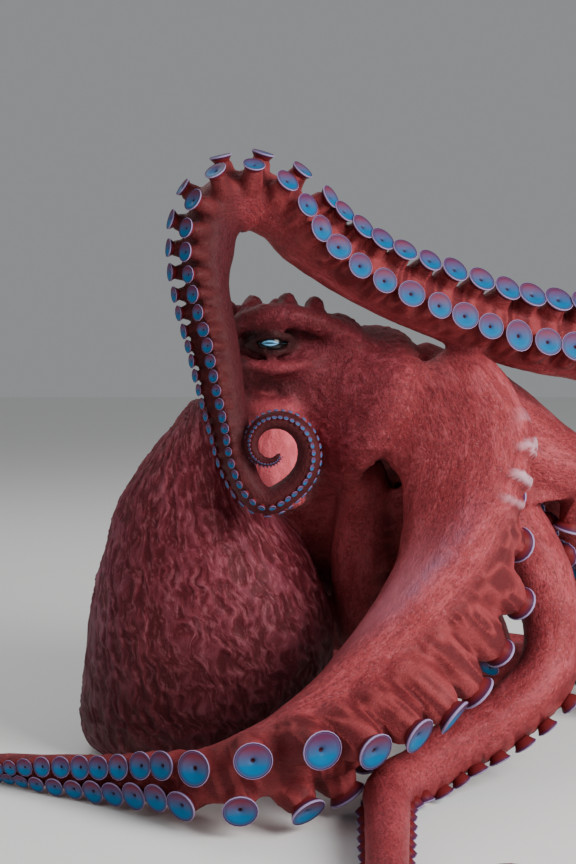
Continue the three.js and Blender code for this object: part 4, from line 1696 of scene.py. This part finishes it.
def blended(
    tree: bpy.types.NodeTree, share: object, first: object, second: object, mode: str = "MIX"
) -> bpy.types.NodeSocket:
    """Two colours mixed by a share.

    Args:
        tree: The material's tree.
        share: How much of the second.
        first: The first colour.
        second: The second colour.
        mode: How they are mixed.

    Returns:
        The mixed colour.
    """
    node = add_node(tree, "ShaderNodeMix", data_type="RGBA", blend_type=mode)
    for socket, value in ((node.inputs[0], share), (node.inputs[6], first), (node.inputs[7], second)):
        if isinstance(value, bpy.types.NodeSocket):
            tree.links.new(value, socket)
        else:
            socket.default_value = value
    return node.outputs[2]


def channel(tree: bpy.types.NodeTree, value: bpy.types.NodeSocket, low: float, high: float) -> bpy.types.NodeSocket:
    """A value's share of the way from low to high, kept between 0 and 1."""
    node = add_node(tree, "ShaderNodeMapRange", {"Value": value, "From Min": low, "From Max": high})
    return node.outputs["Result"]


@dataclass(frozen=True)
class WetSkin:
    """Living octopus skin: soft, wet and full of colour cells.

    The cells give a mottled rose red with paler flecks, the fine wrinkles break the film of water's gloss, and a
    little light passes into the flesh. Light and shade are painted into the colour as well: painted shade in the
    valleys and painted highlights on the crests of the relief, painted light where light falls most, and painted
    shade where the body lies in shadow.
    """

    body: str = "#8a3035"
    light: str = "#a8474d"
    fleck: str = "#d08c92"
    # valley and crest are painted shade in the relief's grooves and painted highlight on its crests.
    valley: str = "#66252a"
    crest: str = "#c8727a"
    vein: str = "#a2606a"
    sac: str = "#ac9cae"
    # pale is painted light on the eye folds, the pouches and the funnel's band; pale_valley is painted shade in their
    # folds.
    pale: str = "#d4606a"
    pale_valley: str = "#9c3a40"
    # The colour of the painted light on the strap.
    painted_light: str = "#dc808f"
    # The colour of the painted highlight on the frill's crests.
    frill_and_highlight: str = "#d2b2bf"
    under: str = "#581c20"
    # under_crest is painted highlight on the crests of the sucker side.
    under_crest: str = "#8a3638"
    # violet is a streak on the straps, and painted bluish light on the sac's left edge.
    violet: str = "#8f6c84"
    # socket is the colour of all painted shade: eye sockets and hollows, the sac's foot and R1's far part.
    socket: str = "#241011"
    mottle_mm: float = 13.0
    speckle_mm: float = 2.6
    wrinkle_mm: float = 2.8
    pore_mm: float = 1.3

    def build(self) -> bpy.types.Material:
        """Makes the material."""
        material, tree, shader = new_material("wet_octopus_skin")
        where = add_node(tree, "ShaderNodeTexCoord").outputs["Object"]
        flow = add_node(tree, "ShaderNodeAttribute", attribute_name="flow").outputs["Vector"]

        def noise(vector: bpy.types.NodeSocket, scale: float, detail: float) -> bpy.types.NodeSocket:
            """An even noise of a given scale and detail."""
            settings = {"Vector": vector, "Scale": scale, "Detail": detail, "Roughness": 0.6}
            return add_node(tree, "ShaderNodeTexNoise", settings).outputs["Fac"]

        cloud = channel(tree, attribute(tree, "cloud"), 0.25, 0.75)
        mottle = channel(tree, noise(where, 1000 / self.mottle_mm, 3.0), 0.4, 0.95)
        ground = blended(tree, cloud, linear(self.body), linear(self.light))
        ground = blended(tree, mottle, ground, linear(self.light))
        even = noise(where, 1000 / self.wrinkle_mm, 3.0)
        wrinkle = blended(tree, attribute(tree, "grain"), even, noise(flow, 1 / self.wrinkle_mm, 3.0))
        # Painted shade in the valleys of the fine wrinkles.
        ground = blended(tree, channel(tree, wrinkle, 0.56, 0.26), ground, linear(self.valley))
        speckle = channel(tree, noise(where, 1000 / self.speckle_mm, 2.0), 0.56, 0.74)
        ridge = attribute(tree, "ridge")
        # Painted shade in the grooves and painted highlight on the crests of the relief.
        grooved = blended(tree, channel(tree, ridge, 0.6, -0.35), ground, linear(self.valley))
        tipped = blended(tree, channel(tree, ridge, 0.45, 1.5), grooved, linear(self.crest))
        # Painted light on the strap.
        painted_light = blended(tree, channel(tree, attribute(tree, "painted_light"), 0.0, 1.3), tipped, linear(self.painted_light))
        flecked = blended(tree, speckle, painted_light, linear(self.fleck))
        freckled = blended(tree, 0.22, painted_light, flecked)
        sac = blended(tree, 1.0, freckled, linear(self.sac), "MULTIPLY")
        vein = blended(tree, channel(tree, wrinkle, 0.52, 0.72), sac, linear(self.vein))
        body = blended(tree, attribute(tree, "sac"), freckled, blended(tree, attribute(tree, "vein"), sac, vein))
        streaked = blended(tree, channel(tree, attribute(tree, "violet"), 0.0, 1.3), body, linear(self.violet))
        # Painted highlight on the crests of the sucker side's pleats.
        under = blended(tree, ridge, linear(self.under), linear(self.under_crest))
        below = blended(tree, channel(tree, attribute(tree, "oral"), 0.0, 1.15), streaked, under)
        # The pale zone is painted light, with painted shade in its folds.
        pale = blended(tree, channel(tree, ridge, -0.9, 0.9), linear(self.pale_valley), linear(self.pale))
        bright = blended(tree, attribute(tree, "pale"), below, pale)
        # Painted highlight on the frill's crests.
        frilled = blended(tree, attribute(tree, "frill_and_highlight"), bright, linear(self.frill_and_highlight))
        # Painted shade: the dark zone takes the skin to the socket colour.
        final = blended(tree, channel(tree, attribute(tree, "dark"), 0.0, 1.05), frilled, linear(self.socket))
        tree.links.new(final, shader.inputs["Base Color"])
        pore = noise(where, 1000 / self.pore_mm, 1.0)
        coarse = add_node(tree, "ShaderNodeBump", {"Height": wrinkle, "Strength": 0.9, "Distance": 0.0017})
        fine = add_node(
            tree,
            "ShaderNodeBump",
            {"Height": pore, "Strength": 0.6, "Distance": 0.0008, "Normal": coarse.outputs["Normal"]},
        )
        tree.links.new(fine.outputs["Normal"], shader.inputs["Normal"])
        shader.inputs["Roughness"].default_value = 0.58
        shader.inputs["Specular IOR Level"].default_value = 0.26
        shader.inputs["Specular Tint"].default_value = linear("#ffb4b4")
        shader.inputs["Subsurface Weight"].default_value = 0.12
        shader.inputs["Subsurface Radius"].default_value = (1.0, 0.25, 0.2)
        shader.inputs["Subsurface Scale"].default_value = 0.004
        shader.inputs["Coat Weight"].default_value = 0.02
        shader.inputs["Coat Roughness"].default_value = 0.25
        return material


@dataclass(frozen=True)
class SuckerSkin:
    """A sucker's smooth mauve cuticle: a thin pale rim, painted blue light below and painted shade in its mouth."""

    wall: str = "#6a2224"
    rim: str = "#9a86ac"
    band: str = "#3c2244"
    # The colour of the painted blue light on the lower half of each dish.
    painted_blue_light: str = "#0b628f"
    mauve: str = "#5e2b4b"
    blush: str = "#722e3a"
    # mouth is painted shade for the pit in the cup's middle.
    mouth: str = "#3c0f13"

    def build(self) -> bpy.types.Material:
        """Makes the material."""
        material, tree, shader = new_material("sucker_cuticle")
        zone, lower = attribute(tree, "radial"), attribute(tree, "lower")
        upper = blended(tree, attribute(tree, "shade"), linear(self.mauve), linear(self.blush))
        # Painted light: the lower half of each dish is painted blue.
        dish = blended(tree, channel(tree, lower, -0.65, 0.35), upper, linear(self.painted_blue_light))
        zones = channel(tree, zone, 0.0, 2.0)
        inside = ramp(tree, zones, [(0.0, "#000000"), (0.34, "#000000"), (0.44, "#c8c8c8"), (0.47, "#ffffff")])
        banded = blended(tree, inside, dish, linear(self.band))
        # Painted shade: the pit in the cup's middle is painted dark.
        core = ramp(tree, zones, [(0.045, "#ffffff"), (0.075, "#000000")])
        cored = blended(tree, core, banded, linear(self.mouth))
        edge = ramp(tree, zones, [(0.475, "#000000"), (0.488, "#ffffff"), (0.505, "#ffffff"), (0.52, "#000000")])
        edged = blended(tree, edge, cored, linear(self.rim))
        ring = ramp(tree, zones, [(0.425, "#000000"), (0.44, "#808080"), (0.455, "#000000")])
        ringed = blended(tree, ring, edged, linear(self.rim))
        final = blended(tree, ramp(tree, zones, [(0.51, "#000000"), (0.6, "#ffffff")]), ringed, linear(self.wall))
        tree.links.new(final, shader.inputs["Base Color"])
        shader.inputs["Roughness"].default_value = 0.4
        shader.inputs["Specular IOR Level"].default_value = 0.06
        return material


@dataclass(frozen=True)
class WetEye:
    """A wet eyeball: a dark ground, two pale blue bands that narrow towards their ends, and a level slit."""

    ground: str = "#0d090b"
    band: str = "#6fb4de"
    reach: float = 0.56

    def build(self) -> bpy.types.Material:
        """Makes the material."""
        material, tree, shader = new_material("wet_eyeball")

        def maths(operation: str, first: object, second: object = 0.0) -> bpy.types.NodeSocket:
            """One step of arithmetic."""
            return add_node(tree, "ShaderNodeMath", {0: first, 1: second}, operation=operation).outputs[0]

        across = maths("DIVIDE", attribute(tree, "across"), self.reach)
        narrowed = maths("SUBTRACT", 1.0, maths("MULTIPLY", across, across))
        level = maths("DIVIDE", maths("ABSOLUTE", attribute(tree, "tall")), maths("MAXIMUM", narrowed, 0.01))
        bands = ramp(
            tree, level, [(0.04, "#000000"), (0.065, "#ffffff"), (0.15, "#e0e0e0"), (0.2, "#202020"), (0.34, "#000000")]
        )
        iris = blended(tree, bands, linear(self.ground), linear(self.band))
        tree.links.new(iris, shader.inputs["Base Color"])
        shader.inputs["Roughness"].default_value = 0.2
        shader.inputs["Specular IOR Level"].default_value = 0.2
        shader.inputs["Coat Weight"].default_value = 0.06
        shader.inputs["Coat Roughness"].default_value = 0.05
        return material


@dataclass(frozen=True)
class LipSkin:
    """The soft ring of lips: pale wet flesh, with painted shade between its folds and painted light on them."""

    # crest and valley are painted light on the folds and painted shade between them.
    crest: str = "#c9887c"
    valley: str = "#6d2a2a"
    fold_mm: float = 3.0

    def build(self) -> bpy.types.Material:
        """Makes the material."""
        material, tree, shader = new_material("lip_skin")
        where = add_node(tree, "ShaderNodeTexCoord").outputs["Object"]
        grainy = add_node(tree, "ShaderNodeTexNoise", {"Vector": where, "Scale": 1000 / self.fold_mm, "Detail": 3.0})
        folds = attribute(tree, "fold")
        soft = blended(tree, 0.3, folds, grainy.outputs["Fac"])
        # Painted shade between the folds and painted light on their crests.
        tree.links.new(ramp(tree, soft, [(0.2, self.valley), (0.8, self.crest)]), shader.inputs["Base Color"])
        relief = add_node(tree, "ShaderNodeBump", {"Height": grainy.outputs["Fac"], "Strength": 0.4, "Distance": 0.001})
        tree.links.new(relief.outputs["Normal"], shader.inputs["Normal"])
        shader.inputs["Roughness"].default_value = 0.4
        shader.inputs["Coat Weight"].default_value = 0.2
        return material


@dataclass(frozen=True)
class BeakHorn:
    """Beak chitin: hard and smooth, brown black at the tip and thinner and amber towards the lips."""

    tip: str = "#15100e"
    root: str = "#6b3a20"

    def build(self) -> bpy.types.Material:
        """Makes the material."""
        material, tree, shader = new_material("beak_chitin")
        where = add_node(tree, "ShaderNodeTexCoord").outputs["Object"]
        grainy = add_node(tree, "ShaderNodeTexNoise", {"Vector": where, "Scale": 700.0, "Detail": 2.0}).outputs["Fac"]
        worn = blended(tree, 0.15, attribute(tree, "fold"), grainy)
        tree.links.new(ramp(tree, worn, [(0.25, self.root), (0.7, self.tip)]), shader.inputs["Base Color"])
        shader.inputs["Roughness"].default_value = 0.28
        shader.inputs["IOR"].default_value = 1.56
        return material


@dataclass(frozen=True)
class PaleFloor:
    """A plain matt studio floor."""

    colour: str = "#f2f1ee"

    def build(self) -> bpy.types.Material:
        """Makes the material."""
        material, _, shader = new_material("pale_floor")
        shader.inputs["Base Color"].default_value = linear(self.colour)
        shader.inputs["Roughness"].default_value = 0.9
        return material


# ------------------------------------------------------------------------------------------------ eyes and mouth


class Eye:
    """One eyeball with its level pupil."""

    def __init__(self, name: str, centre: Array, outward: Array) -> None:
        """Keeps the eye's place.

        Args:
            name: The piece's name.
            centre: The ball's middle.
            outward: The way that it looks.
        """
        self.name, self.centre, self.outward = name, centre, unit(outward)

    def build(self) -> bpy.types.Object:
        """Makes the ball with a raised cornea, and marks its face.

        Returns:
            The eyeball, in the animal's own frame in millimetres.
        """
        bm = bmesh.new()
        bmesh.ops.create_icosphere(bm, subdivisions=5, radius=EYE_RADIUS)
        side = unit(np.cross(self.outward, np.array([0.0, 0.0, 1.0])))
        over = np.cross(side, self.outward)
        for vert in bm.verts:
            front = max(0.0, float(np.dot(np.array(vert.co), self.outward)) / EYE_RADIUS)
            vert.co *= 1.0 + 0.06 * front**6
        mesh = bpy.data.meshes.new(self.name)
        bm.to_mesh(mesh)
        bm.free()
        at = places_of(mesh)
        front = dot(at, self.outward) > 0
        set_attribute(mesh, "across", np.where(front, at @ side / EYE_RADIUS, 1.0))
        set_attribute(mesh, "tall", np.where(front, at @ over / EYE_RADIUS, 1.0))
        set_places(mesh, at + self.centre)
        mesh.shade_smooth()
        return object_of(self.name, mesh)


@dataclass
class Mouth:
    """The lips in the middle of the crown, with the beak's two jaws between them."""

    reach: float = 120.0
    radius: float = 24.0
    tube: float = 7.0
    beak: float = 12.0
    folds: int = 26

    def _turned(self, bm: bmesh.types.BMesh, name: str, fold: Callable[[Array], Array]) -> bpy.types.Object:
        """Finishes a piece that was made round +Z at the origin: marks it and turns it to the mouth's axis.

        Args:
            bm: The piece, which is used up.
            name: Its name.
            fold: Gives each vertex its mark from its place.

        Returns:
            The object.
        """
        bmesh.ops.recalc_face_normals(bm, faces=bm.faces)
        mesh = bpy.data.meshes.new(name)
        bm.to_mesh(mesh)
        bm.free()
        at = places_of(mesh)
        set_attribute(mesh, "fold", fold(at))
        axes = np.array([-RIGHT, DORSAL, MOUTH_AXIS])
        set_places(mesh, head_point(self.reach, 0.0, 0.0) + at @ axes)
        mesh.shade_smooth()
        return object_of(name, mesh)

    def lips(self) -> bpy.types.Object:
        """Makes the ring of lips with its radial folds, closed behind.

        Returns:
            The lips, in the animal's own frame in millimetres.
        """
        bm = bmesh.new()
        bmesh.ops.create_circle(
            bm, cap_ends=False, radius=self.tube, segments=16, matrix=Matrix.Rotation(math.pi / 2, 4, "X")
        )
        bmesh.ops.translate(bm, verts=bm.verts, vec=(self.radius, 0, 0))
        geometry = bm.verts[:] + bm.edges[:]
        bmesh.ops.spin(bm, geom=geometry, cent=(0, 0, 0), axis=(0, 0, 1), angle=2 * math.pi, steps=104, use_merge=True)
        bmesh.ops.remove_doubles(bm, verts=bm.verts, dist=1e-4)
        for vert in bm.verts:
            turn = math.atan2(vert.co.y, vert.co.x)
            out = math.hypot(vert.co.x, vert.co.y) - self.radius
            grow = 1.0 + 0.16 * math.cos(self.folds * turn) * (0.6 - 0.4 * out / self.tube)
            across = self.radius + out * grow
            vert.co = Vector((across * math.cos(turn), across * math.sin(turn), vert.co.z * grow))
        return self._turned(bm, "lips", lambda at: 0.5 + 0.5 * np.cos(self.folds * np.arctan2(at[:, 1], at[:, 0])))

    def jaws(self) -> bpy.types.Object:
        """Makes the beak: two curved jaws that close on each other.

        Returns:
            The beak, in the animal's own frame in millimetres.
        """
        bm = bmesh.new()
        for way, tall, lean in ((1.0, 13.0, -4.0), (-1.0, 10.0, 2.0)):
            made = bmesh.ops.create_uvsphere(bm, u_segments=24, v_segments=16, radius=1.0)["verts"]
            for vert in made:
                x, y, z = vert.co
                point = max(0.0, z) ** 1.5
                wide, deep = self.beak * (1 - 0.75 * point), 0.62 * self.beak * (1 - 0.7 * point)
                vert.co = Vector((wide * x, deep * y + way * 5.0 + lean * way * point, z * tall - 2.0))
        return self._turned(bm, "beak", lambda at: smooth_ramp(at[:, 2], -6.0, 8.0))


# ------------------------------------------------------------------------------------------------ studio


@dataclass
class Studio:
    """The floor, the lights and the camera."""

    origin: Array
    lens: float = 57.875
    tilt: float = 4.4
    eye_point: tuple[float, float, float] = (0.0, -1500.0, 500.0)

    def build(self) -> None:
        """Sets up the studio."""
        bm = bmesh.new()
        bmesh.ops.create_grid(bm, x_segments=1, y_segments=1, size=8.0)
        mesh = bpy.data.meshes.new("studio_floor")
        bm.to_mesh(mesh)
        bm.free()
        floor = object_of("studio_floor", mesh)
        mesh.materials.append(PaleFloor().build())
        world = bpy.data.worlds.new("studio")
        bpy.context.scene.world = world
        world.use_nodes = True
        sky = world.node_tree.nodes["Background"]
        sky.inputs["Color"].default_value = linear("#e6e8ec")
        sky.inputs["Strength"].default_value = 0.35
        self._light("key", (1.2, -1.35, 1.2), (0.05, 0.0, 0.25), 1.1, 66.0)
        self._light("fill", (-1.7, -1.2, 1.2), (0.0, 0.0, 0.3), 1.4, 6.0)
        self._light("back", (-1.3, 1.2, 2.3), (0.0, 0.0, 0.3), 1.2, 18.0)
        self._camera()

    def _light(
        self,
        name: str,
        place: tuple[float, float, float],
        target: tuple[float, float, float],
        size: float,
        power: float,
    ) -> None:
        """Adds one soft square light.

        Args:
            name: Its name.
            place: Where it stands.
            target: What it points at.
            size: The length of its side.
            power: Its power in watts.
        """
        data = bpy.data.lights.new(name, "AREA")
        data.size, data.energy = size, power
        lamp = bpy.data.objects.new(name, data)
        bpy.context.scene.collection.objects.link(lamp)
        spot, aim = Vector(place), Vector(target)
        lamp.location = spot
        lamp.rotation_mode = "QUATERNION"
        lamp.rotation_quaternion = (aim - spot).to_track_quat("-Z", "Y")

    def _camera(self) -> None:
        """Adds the camera at eye level in front of the animal's right side."""
        data = bpy.data.cameras.new("camera")
        data.lens = self.lens
        data.sensor_width = 36.0
        camera = bpy.data.objects.new("camera", data)
        bpy.context.scene.collection.objects.link(camera)
        camera.location = Vector((np.array(self.eye_point) * MM + self.origin).tolist())
        camera.rotation_euler = (math.radians(90.0 - self.tilt), 0.0, 0.0)
        bpy.context.scene.camera = camera


# ------------------------------------------------------------------------------------------------ assembly


def settle(obj: bpy.types.Object, origin: Array, replaced: Sequence[str] = ()) -> None:
    """Moves a piece into the part's frame, hangs it under the root, hides the solids it stands for and logs it.

    Args:
        obj: The piece, in the animal's own frame in millimetres.
        origin: Where that frame's origin lies in the part's frame, in metres.
        replaced: The solids that it stands for.
    """
    obj.data.transform(Matrix.Translation(Vector(origin.tolist())) @ Matrix.Scale(MM, 4))
    obj.data.update()
    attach(obj, "root")
    if replaced:
        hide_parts(*replaced)
    LOG.info("%s: %d faces", obj.name, len(obj.data.polygons))


def cup_detail(cup: Cup) -> CupDetail:
    """The large suckers are made finely, the small ones plainly."""
    if cup.diameter >= 20.0:
        return CupDetail.LARGE
    return CupDetail.MIDDLE if cup.diameter >= 9.0 else CupDetail.SMALL


def resting_detail(cup: Cup) -> CupDetail:
    """Suckers under a resting arm are made plainly."""
    return CupDetail.MIDDLE if cup.diameter >= 24.0 else CupDetail.SMALL


def main() -> None:
    """Builds every piece in order, then the studio."""
    logging.basicConfig(level=logging.INFO, format="%(relativeCreated)d ms %(message)s")
    low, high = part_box("eye_right")
    origin = np.array((low + high) / 2) - EYE_CENTRE * MM
    arms = [Arm(k, plan) for k, plan in enumerate(ARM_PLANS)]
    flesh = [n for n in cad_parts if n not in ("eye_right", "eye_left", "mouth")]

    skin = Skin(arms).build()
    skin.data.materials.append(WetSkin().build())
    skin.data.shade_smooth()
    settle(skin, origin, flesh)

    cuticle, cup_mesh = SuckerSkin().build(), CupMesh()
    for arm in arms:
        detail = cup_detail if arm.plan.suckers else resting_detail
        row = cup_mesh.build(f"suckers_{arm.plan.name}", arm.cups.cups, detail)
        row.data.materials.append(cuticle)
        settle(row, origin)

    eye_finish = WetEye().build()
    outward = np.array([-0.08, -1.0, 0.05])
    for name, centre, facing in (
        ("right", EYE_CENTRE, outward),
        ("left", mirrored(EYE_CENTRE), outward - 2 * np.dot(outward, RIGHT) * RIGHT),
    ):
        eye = Eye(f"eyeball_{name}", centre, facing).build()
        eye.data.materials.append(eye_finish)
        settle(eye, origin, [f"eye_{name}"])

    mouth = Mouth()
    lips, jaws = mouth.lips(), mouth.jaws()
    lips.data.materials.append(LipSkin().build())
    settle(lips, origin, ["mouth"])
    jaws.data.materials.append(BeakHorn().build())
    settle(jaws, origin)

    Studio(origin).build()


if __name__ == "__main__":
    main()
